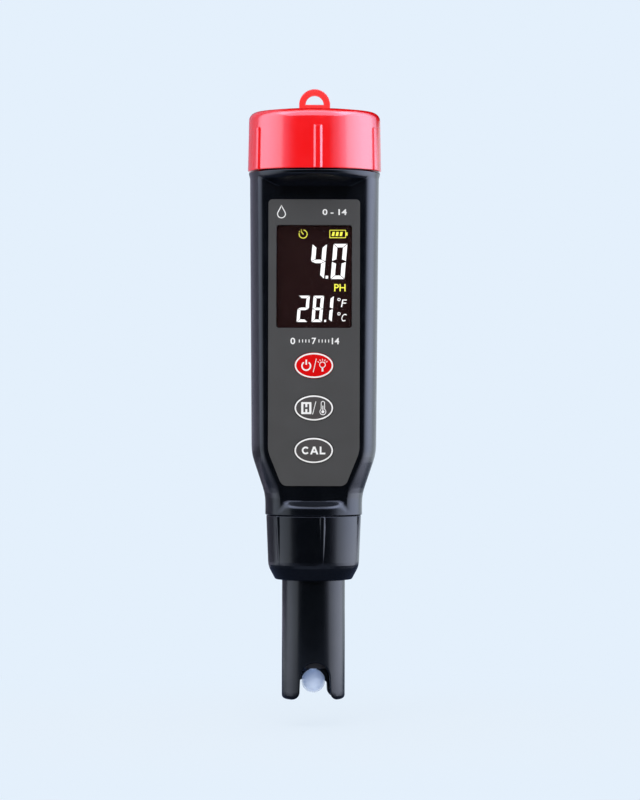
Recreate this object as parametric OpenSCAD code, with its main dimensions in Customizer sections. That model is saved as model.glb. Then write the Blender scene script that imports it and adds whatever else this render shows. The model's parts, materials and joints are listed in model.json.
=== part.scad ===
// Pen-style pH meter: a round barrel with a flat display front, a screw-on battery cap with a
// lanyard loop, and a plug-in glass electrode held by a collar nut.
// Units are millimetres. +Z runs up the pen's axis and the display faces -Y.
// The origin is on the axis, level with the tips of the electrode's guard.

/* [Stack of heights] */
// Length of the electrode sleeve below the collar nut
sleeve_len = 35.3; // [32:0.1:45]
// Height of the collar nut
collar_h = 18.9; // [18:0.1:24]
// Open line between the collar nut and the barrel
collar_seam = 0.15; // [0.1:0.05:0.5]
// Height of the straight neck above the collar nut
neck_h = 5.85; // [5.5:0.05:9]
// Height of the flare between neck and barrel
flare_h = 12.2; // [10:0.1:18]
// Height of the barrel from the flare to its shoulder
barrel_h = 82.85; // [80:0.05:95]
// Open line between the shoulder and the battery cap
cap_seam = 0.35; // [0.2:0.05:0.8]
// Height of the battery cap
cap_h = 17.4; // [17.4:0.1:21]
// Height of the lanyard loop above the cap
loop_h = 7; // [6.8:0.1:10]

/* [Barrel] */
// Diameter of the barrel below its shoulder
barrel_d = 38.1; // [37.4:0.1:41]
// Diameter of the barrel where the flare begins
barrel_low_d = 36.8; // [36.4:0.1:40]
// Step from the cap's rim in to the lip on the shoulder
lip_step = 0.2; // [0:0.05:0.6]
// Height of the lip on the shoulder
lip_h = 1.8; // [1:0.1:2.4]
// Diameter of the straight neck
neck_d = 28.6; // [28:0.1:30]
// Radius that blends the neck into the flare
neck_blend = 9; // [3:0.5:12]
// Radius that blends the flare into the barrel
flare_blend = 15; // [4:0.5:20]
// Thickness of the barrel's wall
wall = 2.2; // [1.8:0.1:2.5]
// Thickness of the shoulder over the barrel's hollow
shoulder_t = 2.5; // [2:0.1:4]

/* [Flat front] */
// Distance from the axis to the flat front
flat_y = 10.5; // [10.2:0.05:11]
// Distance from the shoulder down to the flat front
flat_drop = 4.65; // [4:0.05:6]
// Distance from the collar seam up to the flat front
flat_rise = 4.55; // [3.8:0.05:5.4]
// Height of the slope above the flat front
slope_top_h = 3.75; // [2.5:0.05:3.9]
// Height of the slope below the flat front, at its middle
slope_low_h = 1.7; // [1.2:0.1:2]
// Dip of that slope's crest towards its sides, in degrees
slope_low_dip = 13; // [0:1:15]
// Straight width of the slope above the flat front
slope_top_w = 19; // [12:0.5:22]
// Straight width of the slope below the flat front
slope_low_w = 13; // [8:0.5:15]
// Corner radius where the slopes meet the flat front
slope_corner = 5; // [3:0.5:8]

/* [Face panel] */
// Thickness of the printed face panel
panel_t = 1.2; // [1:0.1:1.6]
// Height of the panel above the flat front
panel_proud = 0.3; // [0.1:0.05:0.5]
// Border of bare flat front beside the panel
panel_margin = 1.7; // [1.2:0.1:2]
// Distance from the shoulder down to the panel
panel_drop = 8.35; // [7:0.05:9.5]
// Distance from the collar seam up to the panel
panel_rise = 8.65; // [7.5:0.05:10]
// Distance from the flare up to the bend in the panel's sides
panel_bend = 0.7; // [0:0.1:3]
// Corner radius at the panel's top
panel_top_r = 1.2; // [0.5:0.1:3]
// Corner radius at the bend in the panel's sides
panel_bend_r = 8; // [2:0.5:12]
// Corner radius at the panel's foot
panel_foot_r = 2.4; // [1:0.1:4]
// Width of the ledge under the panel's edge
panel_ledge = 0.8; // [0.5:0.05:1]
// Width of the display window
window_w = 21.9; // [18:0.1:22.4]
// Height of the display window
window_h = 29.85; // [26:0.05:31]
// Corner radius of the display window
window_r = 0.6; // [0.2:0.1:2]
// Distance from the shoulder down to the display window
window_drop = 16; // [15.6:0.1:18]

/* [Keys] */
// Width of an oval key
key_w = 11.4; // [9:0.1:14]
// Height of an oval key
key_h = 7.5; // [6.6:0.1:9]
// Height of a key above the panel
key_proud = 0.3; // [0.3:0.05:0.8]
// Distance from the window down to the middle of the first key
key_drop = 11.1; // [10.5:0.1:12]
// Spacing of the keys
key_pitch = 12.43; // [11.5:0.01:12.6]
// Travel of a key
key_travel = 0.25; // [0.15:0.05:0.3]
// Gap around a key in the panel
key_gap = 0.12; // [0.08:0.01:0.2]
// Lip behind the panel that keeps a key in
key_lip = 0.7; // [0.4:0.1:1]
// Thickness of that lip
key_lip_t = 0.6; // [0.4:0.1:0.8]
// Diameter of a key's stem
key_stem_d = 4; // [3:0.1:5]

/* [Display and board] */
// Thickness of the metal bezel around the glass
bezel_t = 0.4; // [0.3:0.05:0.6]
// Overlap of the bezel inside the window
bezel_overlap = 0.2; // [0.1:0.05:0.4]
// Border of the display glass outside the window
glass_border = 0.85; // [0.6:0.05:0.9]
// Height of a contact strip above and below the window
strip_h = 1.8; // [1.4:0.1:2.2]
// Thickness of the display glass
glass_t = 2; // [1.6:0.1:2.4]
// Thickness of the light guide behind the glass
light_t = 2.2; // [1.8:0.1:2.6]
// Thickness of the main board
board_t = 1.6; // [1:0.1:2]
// Gap around the main board
board_gap = 0.3; // [0.15:0.05:0.5]
// Width of a switch body
switch_w = 6; // [5:0.1:6.2]
// Height of a switch body
switch_h = 2.2; // [1.8:0.1:2.4]
// Diameter of a switch plunger
plunger_d = 3.3; // [2.5:0.1:3.6]
// Height of a plunger above its switch
plunger_h = 0.7; // [0.5:0.05:0.9]
// Diameter of the board screws
screw_d = 1.6; // [1.4:0.1:2]
// Diameter of the board screws' heads
screw_head_d = 3.6; // [3:0.1:3.8]
// Length of the board screws below the board
screw_len = 2.8; // [2:0.1:3]

/* [Battery compartment] */
// Diameter of a cell
cell_d = 10.5; // [10:0.1:10.8]
// Length of a cell with its nub
cell_len = 44.5; // [40:0.1:46]
// Spacing of the two cells
cell_pitch = 11.2; // [11.1:0.05:11.5]
// Distance of the cells behind the axis
cell_back = 5.5; // [5.3:0.05:5.6]
// Gap around a cell in its well
cell_gap = 0.2; // [0.1:0.05:0.3]
// Thickness of a well's wall
well_wall = 0.8; // [0.7:0.05:0.9]
// Height of the spring under a cell
spring_h = 3; // [2.5:0.1:4]
// Thickness of the tray's floor and flange
tray_t = 2; // [1.6:0.1:2.4]
// Distance of the tray below the mouth's rim
tray_drop = 1.65; // [1.4:0.05:2]
// Depth of the cells below the tray's top
cell_recess = 1; // [0.6:0.1:1.5]

/* [Mouth and cap] */
// Height of the threaded mouth above the shoulder
mouth_h = 12.9; // [12.4:0.1:13.4]
// Core diameter of the threaded mouth
mouth_d = 32.4; // [32.2:0.1:33]
// Bore of the mouth
mouth_bore_d = 28.6; // [28.5:0.1:29]
// Width of the seat for the battery tray
seat_w = 0.65; // [0.5:0.05:0.8]
// Height of a thread ridge
thread_depth = 0.9; // [0.6:0.05:0.9]
// Width of a thread ridge at its root
thread_root_w = 1.3; // [1:0.05:1.4]
// Width of a thread ridge at its crest
thread_crest_w = 0.6; // [0.4:0.05:0.8]
// Gap between the two threads of a screwed joint
thread_gap = 0.3; // [0.2:0.05:0.4]
// Pitch of the cap's thread
cap_pitch = 3; // [2.8:0.1:3.2]
// Turns of ridge on the cap's thread
cap_turns = 2; // [1:0.25:2]
// Diameter of the cap at its rim
cap_d = 39.4; // [39:0.1:42]
// Diameter of the cap at its top
cap_top_d = 38.7; // [38.4:0.1:41]
// Radius of the cap's top edge
cap_edge_r = 2.2; // [0.8:0.1:3]
// Thickness of the cap's top
cap_top_t = 2.4; // [1.6:0.1:2.6]
// Number of grip ribs on the cap
cap_ribs = 6; // [3:1:12]
// Turn of the cap's ribs from the front
cap_rib_turn = 3; // [0:1:20]
// Height of a grip rib on the cap
cap_rib_h = 12.5; // [8:0.1:13]
// Width of a grip rib at its root
cap_rib_w = 2.7; // [1.6:0.1:4]
// Width of a grip rib at its crest
cap_rib_crest_w = 1.3; // [0.6:0.1:1.5]
// Height of a grip rib above the cap
cap_rib_proud = 0.6; // [0.3:0.05:1]
// Thickness of the seal ring's cord at the mouth
mouth_ring_t = 1.8; // [1.4:0.1:2]

/* [Lanyard loop] */
// Width of the lanyard loop
loop_w = 9.2; // [8:0.1:12]
// Thickness of the loop's arch
loop_bar = 1.55; // [1.2:0.05:2]
// Depth of the loop from front to back
loop_t = 2.4; // [1.8:0.1:4]
// Radius on the loop's edges
loop_edge = 0.5; // [0.2:0.05:0.55]

/* [Swivel contact] */
// Diameter of the contact disc in the cap
disc_d = 27.6; // [26.8:0.1:28]
// Thickness of the contact disc
disc_t = 1.8; // [1.4:0.1:2]
// Gap between the disc and the cap
disc_gap = 0.4; // [0.3:0.05:0.6]
// Thickness of the bridge contact
bridge_t = 0.4; // [0.3:0.05:0.5]
// Width of the bridge contact
bridge_w = 3.8; // [3:0.1:4]
// Diameter of the pivot boss under the cap
pivot_d = 4.8; // [4:0.1:5]
// Running gap around the pivot boss
pivot_gap = 0.08; // [0.04:0.01:0.1]
// Diameter of the swivel screw's head
pivot_head_d = 6.4; // [6:0.1:6.8]
// Thickness of the swivel screw's head
pivot_head_t = 0.9; // [0.7:0.1:1]
// Diameter of the swivel screw
pivot_screw_d = 2; // [1.6:0.1:2.4]
// Width of a keying lug on the disc
lug_w = 4; // [3:0.1:5]
// Thickness of a keying lug
lug_t = 1.5; // [1:0.1:1.7]
// Gap around a keying lug
lug_gap = 0.3; // [0.2:0.05:0.35]
// Thickness of the wire in the springs
spring_wire_d = 0.5; // [0.4:0.05:0.6]
// Diameter of the springs at the middle of their wire
spring_d = 5.2; // [4:0.1:6]
// Open space between the turns of a spring
spring_gap = 0.45; // [0.42:0.01:0.8]

/* [Collar nut] */
// Diameter of the collar nut at its top
collar_d = 28; // [27.4:0.1:29.5]
// Diameter of the collar nut above its chamfer
collar_low_d = 26.8; // [26.6:0.1:28]
// Diameter of the collar nut's foot
collar_foot_d = 22.6; // [21:0.1:25]
// Height of the collar nut's chamfer
collar_chamfer = 3.9; // [2:0.1:4.2]
// Radius on the collar nut's chamfer
collar_edge_r = 1.4; // [0.4:0.1:2]
// Thickness of the collar nut's floor
collar_floor = 4.6; // [4.4:0.1:5.5]
// Number of grip ribs on the collar nut
collar_ribs = 6; // [3:1:12]
// Turn of the collar nut's ribs from the front
collar_rib_turn = 11; // [0:1:30]
// Diameter of a grip rib's rounded crest
collar_rib_d = 1.5; // [1:0.1:2.4]
// Height of a grip rib at the collar nut's top
collar_rib_proud = 0.45; // [0.2:0.05:0.6]
// Length of a grip rib
collar_rib_len = 13; // [8:0.5:13.5]
// Core diameter of the barrel's lower spigot
spigot_d = 21.4; // [21.2:0.1:21.8]
// Pitch of the collar nut's thread
collar_pitch = 2.5; // [2.4:0.1:2.7]
// Turns of ridge on the collar nut's thread
collar_turns = 1.75; // [1:0.25:1.75]

/* [Electrode] */
// Diameter of the electrode's sleeve
sleeve_d = 18.6; // [18:0.1:18.8]
// Thickness of the sleeve's wall
sleeve_wall = 1.6; // [1.2:0.1:2]
// Radius on the sleeve's tip
tip_r = 1.4; // [0.5:0.05:1.5]
// Width of the sample window at its arch
arch_w = 8.3; // [7.6:0.1:9.5]
// Width of the sample window at its foot
arch_foot_w = 9.3; // [8.4:0.1:10.5]
// Height of the sample window
arch_h = 11.4; // [10.6:0.1:13]
// Height of the round part of the sample window
arch_round_h = 4.6; // [3:0.1:6]
// Height of the lower window at the sleeve's back
arch_back_h = 5.4; // [4.8:0.1:8]
// Height of the round part of that window
arch_back_round_h = 1.4; // [1:0.1:2]
// Radius at the foot of the sample window
arch_foot_r = 2.4; // [1:0.1:3]
// Turn of the sample window from the front
arch_turn = 4; // [0:1:20]
// Step outwards where the collar nut holds the sleeve
sleeve_step = 0.3; // [0.2:0.05:0.4]
// Running gap between sleeve and collar nut
sleeve_gap = 0.3; // [0.2:0.05:0.4]
// Thickness of the sleeve's flange
flange_t = 3; // [2.4:0.1:3.4]
// Thickness of the flange's gasket
gasket_t = 1.5; // [1:0.1:2]
// Diameter of the glass bulb
bulb_d = 6.95; // [6:0.05:7.4]
// Height of the bulb's middle above the tips
bulb_z = 5.25; // [4.6:0.05:6]
// Diameter of the glass stem
stem_d = 5.2; // [4.4:0.1:5.6]
// Thickness of the glass
glass_wall = 0.5; // [0.4:0.05:0.7]
// Height of the seal's lower face above the tips
seal_z = 9.4; // [9.2:0.1:10.2]
// Thickness of the seal
seal_t = 4.6; // [3:0.1:6]
// Diameter of the ceramic junction
junction_d = 1.6; // [1.2:0.1:2]
// Diameter of the temperature sensor
sensor_d = 2.2; // [1.8:0.1:2.6]
// Distance of junction and sensor from the axis
sensor_r = 5.2; // [4.9:0.1:5.6]
// Diameter of the silver wires
silver_d = 0.6; // [0.4:0.1:0.8]
// Diameter of the electrode's head in the spigot
head_d = 17.4; // [16.8:0.1:17.6]
// Gap around the head in the spigot
head_gap = 0.3; // [0.2:0.05:0.35]
// Height of the head above the flange
head_h = 7.85; // [7.4:0.05:8.4]
// Thickness of the seal ring's cord on the head
head_ring_t = 1.3; // [1:0.1:1.4]
// Diameter of a contact pin
pin_d = 1; // [0.8:0.05:1.2]
// Length of a contact pin above the head
pin_len = 5.6; // [4.8:0.1:6]
// Radius of the ring of contact pins
pin_ring_r = 4.4; // [4:0.1:4.8]

/* [Socket] */
// Thickness of the ledge under the socket
ledge_t = 1.5; // [1.2:0.1:2]
// Gap between the head and that ledge
ledge_gap = 0.6; // [0.3:0.1:1]
// Diameter of the socket
socket_d = 17.6; // [16.8:0.1:18]
// Height of the socket
socket_h = 4.4; // [4:0.1:4.8]
// Running gap in a socket contact
contact_gap = 0.04; // [0.02:0.01:0.08]
// Thickness of a socket contact's wall
contact_wall = 0.35; // [0.25:0.05:0.45]
// Diameter of the inner leads
lead_d = 1; // [0.8:0.1:1.2]

/* [Hidden] */
$fn = 96;
// Small gaps between pieces that are seated, slid in or bonded
slip = 0.05;
seat_gap = 0.1;
// Extra length of a cutting shape past the face that it cuts
over = 1;
// Depth that a ridge, rib or boss is rooted in its wall
root = 0.4;
// Small edge radius, and chamfer that leads a thread in
edge_r = 0.3;
lead_in = 0.5;
// Radius that blends the barrel into the lip of its shoulder
lip_blend = 2;
// Corner segments of a rounded outline, points of an oval, and segments of one thread turn
corner_steps = 6;
oval_points = 64;
thread_steps = 36;
fade_steps = 4;
wire_steps = 12;
wire_sides = 6;
lead_steps = 10;
lead_sides = 8;
hull_sides = 40;

// Levels from the tips up
z_collar = sleeve_len;
z_flange = z_collar + collar_floor;
z_gasket = z_flange + flange_t;
z_spigot = z_gasket + gasket_t;
z_collar_top = z_collar + collar_h;
z_seam = z_collar_top + collar_seam;
z_head_top = z_gasket + head_h;
z_ledge = z_head_top + ledge_gap;
z_socket = z_ledge + ledge_t;
z_socket_top = z_socket + socket_h;
z_neck = z_seam + neck_h;
z_barrel = z_neck + flare_h;
z_shoulder = z_barrel + barrel_h;
z_hollow_top = z_shoulder - shoulder_t;
z_mouth = z_shoulder + mouth_h;
z_cap = z_shoulder + cap_seam;
z_top = z_cap + cap_h;
z_ceiling = z_top - cap_top_t;
z_flat_top = z_shoulder - flat_drop;
z_flat_low = z_seam + flat_rise;
z_panel_top = z_shoulder - panel_drop;
z_panel_low = z_seam + panel_rise;
z_panel_bend = z_barrel + panel_bend;
z_window_top = z_shoulder - window_drop;
z_window = z_window_top - window_h;
z_keys = [for (i = [0:2]) z_window - key_drop - i * key_pitch];

// Radii
barrel_r = barrel_d / 2;
barrel_low_r = barrel_low_d / 2;
neck_r = neck_d / 2;
mouth_r = mouth_d / 2;
mouth_bore_r = mouth_bore_d / 2;
seat_r = mouth_bore_r + seat_w;
cap_r = cap_d / 2;
lip_r = cap_r - lip_step;
cap_top_r = cap_top_d / 2;
cap_bore_r = mouth_r + thread_depth + thread_gap;
spigot_r = spigot_d / 2;
spigot_bore_r = head_d / 2 + head_gap;
collar_bore_r = spigot_r + thread_depth + thread_gap;
sleeve_r = sleeve_d / 2;
sleeve_bore_r = sleeve_r - sleeve_wall;
sleeve_land_r = sleeve_r + sleeve_step;
stem_r = stem_d / 2;
bulb_r = bulb_d / 2;
silver_r = silver_d / 2;
pin_r = pin_d / 2;
contact_bore_r = pin_r + contact_gap;
contact_r = contact_bore_r + contact_wall;
plunger_r = plunger_d / 2;

// Half width of the flat front where the barrel has radius r
function half_chord(r) = sqrt(r * r - flat_y * flat_y);
// Radius of the flare at height z
function flare_r(z) = neck_r + (z - z_neck) * (barrel_low_r - neck_r) / flare_h;
// Radius of the barrel above the flare at height z
function barrel_at(z) = barrel_low_r + (z - z_barrel) * (barrel_r - barrel_low_r) / (barrel_h - lip_h);

panel_half = half_chord(barrel_low_r) - panel_margin;
panel_low_half = half_chord(flare_r(z_panel_low)) - panel_margin;

// Layers behind the flat front, from the panel inwards
y_flat = -flat_y;
y_hollow = y_flat + wall;
y_panel = y_flat - panel_proud;
y_panel_back = y_panel + panel_t;
y_glass = y_panel_back + bezel_t;
y_light = y_glass + glass_t;
y_board = y_light + light_t;
y_board_back = y_board + board_t;
y_switch = y_board - switch_h;
y_plunger = y_switch - plunger_h;
y_key = y_panel - key_proud;
y_key_lip_back = y_panel_back + key_lip_t;

// Display module
glass_w = window_w + 2 * glass_border;
glass_h = window_h + 2 * strip_h;
z_glass = z_window - strip_h;
bezel_w = glass_w + 2 * (slip + bezel_t);
bezel_h = glass_h + 2 * (slip + bezel_t);

// Board screws: one pair under the panel's top and one pair between the lower keys
screw_x = panel_half - panel_ledge - board_gap - screw_head_d / 2 - seat_gap;
screw_z = [z_panel_top - panel_ledge - board_gap - screw_head_d / 2 - seat_gap,
           (z_keys[1] + z_keys[2]) / 2];
boss_wall = 1.3;
boss_half = screw_d / 2 + boss_wall;
screw_head_t = 1.3;
screw_slot_w = 0.5;
screw_slot_depth = 0.7;
screw_slot_len = screw_head_d * 0.6;
board_hole_gap = 0.2;
plunger_root = 0.66;

// Chips on the back of the board as [width, height, thickness]
microcontroller_size = [10, 10, 1.4];
amplifier_size = [5, 4, 1.4];
amplifier_rise = 1;
capacitor_size = [1.2, 2, 1.1];
capacitor_places = [-7.5, -5, 5, 7.5];
crystal_d = 3;
crystal_h = 2.4;
crystal_x = 8;
// Lamps on the front of the board
lamp_size = [3, 1.4, 1.2];
lamp_x = 5;

// Battery tray
well_r = cell_d / 2 + cell_gap;
tube_r = well_r + well_wall;
z_tray_top = z_mouth - tray_drop;
z_tray_seat = z_tray_top - tray_t;
z_cell_top = z_tray_top - cell_recess;
z_cell = z_cell_top - cell_len;
z_well_floor = z_cell - spring_h;
z_tray = z_well_floor - tray_t;
nub_d = 3.8;
nub_h = 0.8;
plate_t = 0.4;
plate_d = 7.6;
spring_base_t = 0.3;
spring_base_d = spring_d + 1.6;
tail_d = 1;
tail_len = 1;

// Swivel contact in the cap
z_disc_top = z_ceiling - disc_gap;
z_disc = z_disc_top - disc_t;
z_bridge = z_disc - bridge_t;
z_pivot = z_disc - slip;
pivot_thread_len = 3;
lug_edge = 0.75;
lug_x = disc_d / 2 - lug_t / 2 - lug_edge;
lug_depth = 1.5;
z_lug = z_tray_top - lug_depth;

// Seal rings, each above the face that its groove starts from
mouth_ring_rise = 1.2;
mouth_ring_z = z_shoulder + mouth_ring_rise + mouth_ring_t / 2;
mouth_ring_r = cap_bore_r - slip - mouth_ring_t / 2;
head_ring_rise = 1.6;
head_ring_z = z_spigot + head_ring_rise + head_ring_t / 2;
head_ring_r = spigot_bore_r - slip - head_ring_t / 2;

// Middle of the first turn of each outer thread; the inner threads lie half a pitch higher
thread_end = 0.9;
cap_thread_z = z_mouth - thread_end - cap_pitch * (cap_turns + 0.5);
thread_start = 0.45;
collar_thread_z = z_spigot + lead_in + thread_root_w / 2 + thread_start;

// Electrode
z_land = z_collar - 2 * seat_gap;
z_seal_top = seal_z + seal_t;
head_plug = 4;
z_head = z_flange - head_plug;
stem_seat = 5;
z_stem_top = z_head + stem_seat;
head_plug_r = sleeve_bore_r - seat_gap;
pin_root = 4.5;
sensor_angles = [60, 120];
pin_angles = [45, 135, 225, 315];
fill_drop = 1;
fill_top = z_head - fill_drop;
wire_dip = 0.5;
wire_low = bulb_z - wire_dip;
wire_seat = 3;
reference_wire_r = (stem_r + sleeve_bore_r) / 2;
reference_rise = 3.2;
reference_low = z_seal_top + reference_rise;
junction_proud = 0.2;
sensor_proud = 0.6;
sensor_seat = 0.6;
arch_step = 10;

// Inner leads
contact_rise = 0.8;
contact_lid = 0.4;
sensor_lead_reach = 3;
battery_lead_reach = 3.5;
sensor_pad_rise = 5;
sensor_pad_z = z_panel_low + panel_ledge + board_gap + sensor_pad_rise;
sensor_pad_pitch = 3.2;
battery_pad_drop = 7;
battery_pad_z = z_tray - battery_pad_drop;
battery_pad_x = 4;

// Colours
black_plastic = [0.05, 0.05, 0.06];
red_plastic = [0.86, 0.03, 0.05];
panel_grey = [0.30, 0.30, 0.30];
white_plastic = [0.88, 0.88, 0.86];
steel = [0.70, 0.71, 0.72];
gold = [0.83, 0.66, 0.30];
rubber = [0.10, 0.10, 0.10];
clear_glass = [0.80, 0.88, 0.95, 0.45];

// Points of an arc that rounds the corner b between a and c
function unit(v) = v / norm(v);
function corner(a, b, c, r) =
    let (u = unit(a - b), w = unit(c - b), half = acos(u * w) / 2,
         centre = b + unit(u + w) * r / sin(half),
         p = b + u * r / tan(half) - centre, q = b + w * r / tan(half) - centre,
         start = atan2(p.y, p.x), sweep = atan2(cross(p, q), p * q))
    [for (k = [0:corner_steps])
        centre + r * [cos(start + sweep * k / corner_steps), sin(start + sweep * k / corner_steps)]];

// A closed outline given as [x, y, corner radius] points, with its corners rounded
function rounded(points) =
    let (n = len(points), flat = [for (p = points) [p.x, p.y]])
    [for (i = [0:n - 1])
        each points[i].z > 0
            ? corner(flat[(i + n - 1) % n], flat[i], flat[(i + 1) % n], points[i].z)
            : [flat[i]]];

function oval(w, h) =
    [for (i = [0:oval_points - 1])
        [w / 2 * cos(360 * i / oval_points), h / 2 * sin(360 * i / oval_points)]];

// The face panel's outline, drawn in from its edge by inset
function panel_outline(inset) =
    let (lean = atan2(panel_half - panel_low_half, z_panel_bend - z_panel_low),
         side = panel_half - inset,
         foot = panel_low_half + inset * tan(lean) - inset / cos(lean),
         bend = z_panel_low + (side - panel_low_half + inset / cos(lean)) / tan(lean),
         top = z_panel_top - inset, low = z_panel_low + inset,
         top_r = max(panel_top_r - inset, slip), foot_r = max(panel_foot_r - inset, slip))
    rounded([[side, top, top_r], [-side, top, top_r], [-side, bend, panel_bend_r],
             [-foot, low, foot_r], [foot, low, foot_r], [side, bend, panel_bend_r]]);

// A solid swept through rings of points, each ring counter-clockwise seen from the far end
module sweep(rings) {
    n = len(rings[0]);
    last = (len(rings) - 1) * n;
    faces = concat(
        [for (i = [0:len(rings) - 2], j = [0:n - 1])
            [i * n + j, (i + 1) * n + j, (i + 1) * n + (j + 1) % n]],
        [for (i = [0:len(rings) - 2], j = [0:n - 1])
            [i * n + j, (i + 1) * n + (j + 1) % n, i * n + (j + 1) % n]],
        [for (j = [1:n - 2]) [0, j, j + 1]],
        [for (j = [1:n - 2]) [last, last + j + 1, last + j]]);
    polyhedron([for (ring = rings) each ring], faces);
}

// A helical ridge on a wall of radius wall_r; side is 1 outside the wall and -1 inside it
module thread(wall_r, side, z, pitch, turns) {
    count = round(thread_steps * turns);
    rings = [for (k = [0:count])
        let (angle = 360 * k / thread_steps,
             fade = min(1, k / fade_steps, (count - k) / fade_steps),
             base = wall_r - side * root,
             crest = wall_r + side * ((thread_depth + root / 2) * fade - root / 2),
             section = [[base, thread_root_w / 2], [crest, thread_crest_w / 2],
                        [crest, -thread_crest_w / 2], [base, -thread_root_w / 2]],
             ordered = side > 0 ? section : [for (m = [3:-1:0]) section[m]])
        [for (p = ordered) [p.x * cos(angle), p.x * sin(angle), z + pitch * angle / 360 + p.y]]];
    sweep(rings);
}

// A coil spring standing on height z, with as many turns as leave its wire's gap open
module coil(z, height) {
    wire_r = spring_wire_d / 2;
    rise = height - spring_wire_d;
    count = floor(wire_steps * rise / (spring_wire_d + spring_gap));
    sweep([for (k = [0:count])
        let (angle = 360 * k / wire_steps)
        [for (m = [0:wire_sides - 1])
            let (r = spring_d / 2 + wire_r * sin(360 * m / wire_sides))
            [r * cos(angle), r * sin(angle),
             z + wire_r + rise * k / count + wire_r * cos(360 * m / wire_sides)]]]);
}

// A lead that leaves start straight along away and reaches end straight against the board's back
module lead(start, away, end, reach) {
    bends = [start, start + away * reach, end + [0, reach, 0], end];
    function point(t) = pow(1 - t, 3) * bends[0] + 3 * pow(1 - t, 2) * t * bends[1]
        + 3 * (1 - t) * t * t * bends[2] + pow(t, 3) * bends[3];
    function along(t) = unit(pow(1 - t, 2) * (bends[1] - bends[0])
        + 2 * (1 - t) * t * (bends[2] - bends[1]) + t * t * (bends[3] - bends[2]));
    sweep([for (k = [0:lead_steps])
        let (t = k / lead_steps, w = along(t), u = unit(cross(w, [1, 0, 0])), v = cross(w, u))
        [for (m = [0:lead_sides - 1])
            point(t) + lead_d / 2 * (cos(360 * m / lead_sides) * u + sin(360 * m / lead_sides) * v)]]);
}

// A flat shape drawn in X and Z, given depth from y towards the back
module slab(y, depth) {
    translate([0, y + depth, 0]) rotate([90, 0, 0]) linear_extrude(depth) children();
}

module rectangle(w, z, h) {
    translate([-w / 2, z]) square([w, h]);
}

module rod(r, z, top) {
    translate([0, 0, z]) cylinder(r = r, h = top - z);
}

module tube(r, bore, z, top) {
    difference() {
        rod(r, z, top);
        rod(bore, z - over, top + over);
    }
}

module ring(r, cord) {
    rotate_extrude() translate([r, 0]) circle(d = cord, $fn = 48);
}

module around(count, turn) {
    for (i = [0:count - 1]) rotate(turn + i * 360 / count - 90) children();
}

// Places for the board screws
module at_screws() {
    for (x = [-screw_x, screw_x], z = screw_z) translate([x, 0, z]) children();
}

// Outer form of the barrel with its mouth and spigot
module barrel_form() {
    rotate_extrude() polygon(rounded([
        [0, z_spigot, 0], [spigot_r - lead_in, z_spigot, 0], [spigot_r, z_spigot + lead_in, 0],
        [spigot_r, z_seam, 0], [neck_r, z_seam, edge_r], [neck_r, z_neck, neck_blend],
        [barrel_low_r, z_barrel, flare_blend], [barrel_r, z_shoulder - lip_h, lip_blend],
        [lip_r, z_shoulder, edge_r], [mouth_r, z_shoulder, 0], [mouth_r, z_mouth - lead_in, 0],
        [mouth_r - lead_in, z_mouth, 0], [0, z_mouth, 0]]));
}

// The cut that leaves the flat front, with a slope at each end
module flat_cut() {
    reach = lip_r + over;
    top = z_flat_top + slope_top_h;
    low_r = neck_r + over;
    crest = z_flat_low - slope_low_h;
    low = crest - (low_r - flat_y) * tan(slope_low_dip);
    difference() {
        translate([-reach, -2 * reach - flat_y + over, low]) cube([2 * reach, 2 * reach - over, top - low]);
        slope(z_flat_top, slope_top_w, top, 0, top, top + over, reach);
        slope(z_flat_low, slope_low_w, crest, slope_low_dip, low - over, low, low_r);
    }
}

// One slope: from a straight edge on the flat front to a crest on the full round of the barrel,
// and on as a plain round from z_low to z_high
module slope(z_edge, edge_w, z_crest, dip, z_low, z_high, round_r) {
    $fn = hull_sides;
    lift = 0.01;
    hull() {
        for (x = [-edge_w, edge_w] / 2)
            translate([x, y_flat + slope_corner, z_edge]) cylinder(r = slope_corner, h = lift, center = true);
        translate([0, -round_r, z_crest]) rotate([-dip, 0, 0]) translate([0, round_r, 0])
            cylinder(r = round_r, h = lift, center = true);
        rod(round_r, z_low, z_high);
    }
}

// Hollow of the barrel behind the flat front
module hollow() {
    difference() {
        rotate_extrude() polygon([
            [0, z_socket_top], [neck_r - wall, z_socket_top], [neck_r - wall, z_neck],
            [barrel_low_r - wall, z_barrel], [barrel_r - wall, z_hollow_top],
            [mouth_bore_r, z_hollow_top], [mouth_bore_r, z_tray_seat], [seat_r, z_tray_seat],
            [seat_r, z_mouth + over], [0, z_mouth + over]]);
        translate([-lip_r, y_hollow - 2 * lip_r, z_spigot])
            cube([2 * lip_r, 2 * lip_r, z_hollow_top - z_spigot]);
    }
}

// Seats for the electrode's head and for the socket
module socket_seats() {
    rod(spigot_bore_r, z_spigot - over, z_ledge);
    rod(socket_d / 2 - ledge_t, z_ledge - slip, z_socket + slip);
    rod(socket_d / 2 + seat_gap, z_socket, z_socket_top + over);
}

// Block on the barrel's wall that a board screw bites into
module screw_boss() {
    inner = screw_x - boss_half;
    for (side = [-1, 1], z = screw_z) {
        outer = barrel_at(z) - wall / 2 - root;
        translate([side > 0 ? inner : -outer, y_board_back, z - boss_half])
            cube([outer - inner, screw_len + slip, 2 * boss_half]);
    }
}

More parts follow.
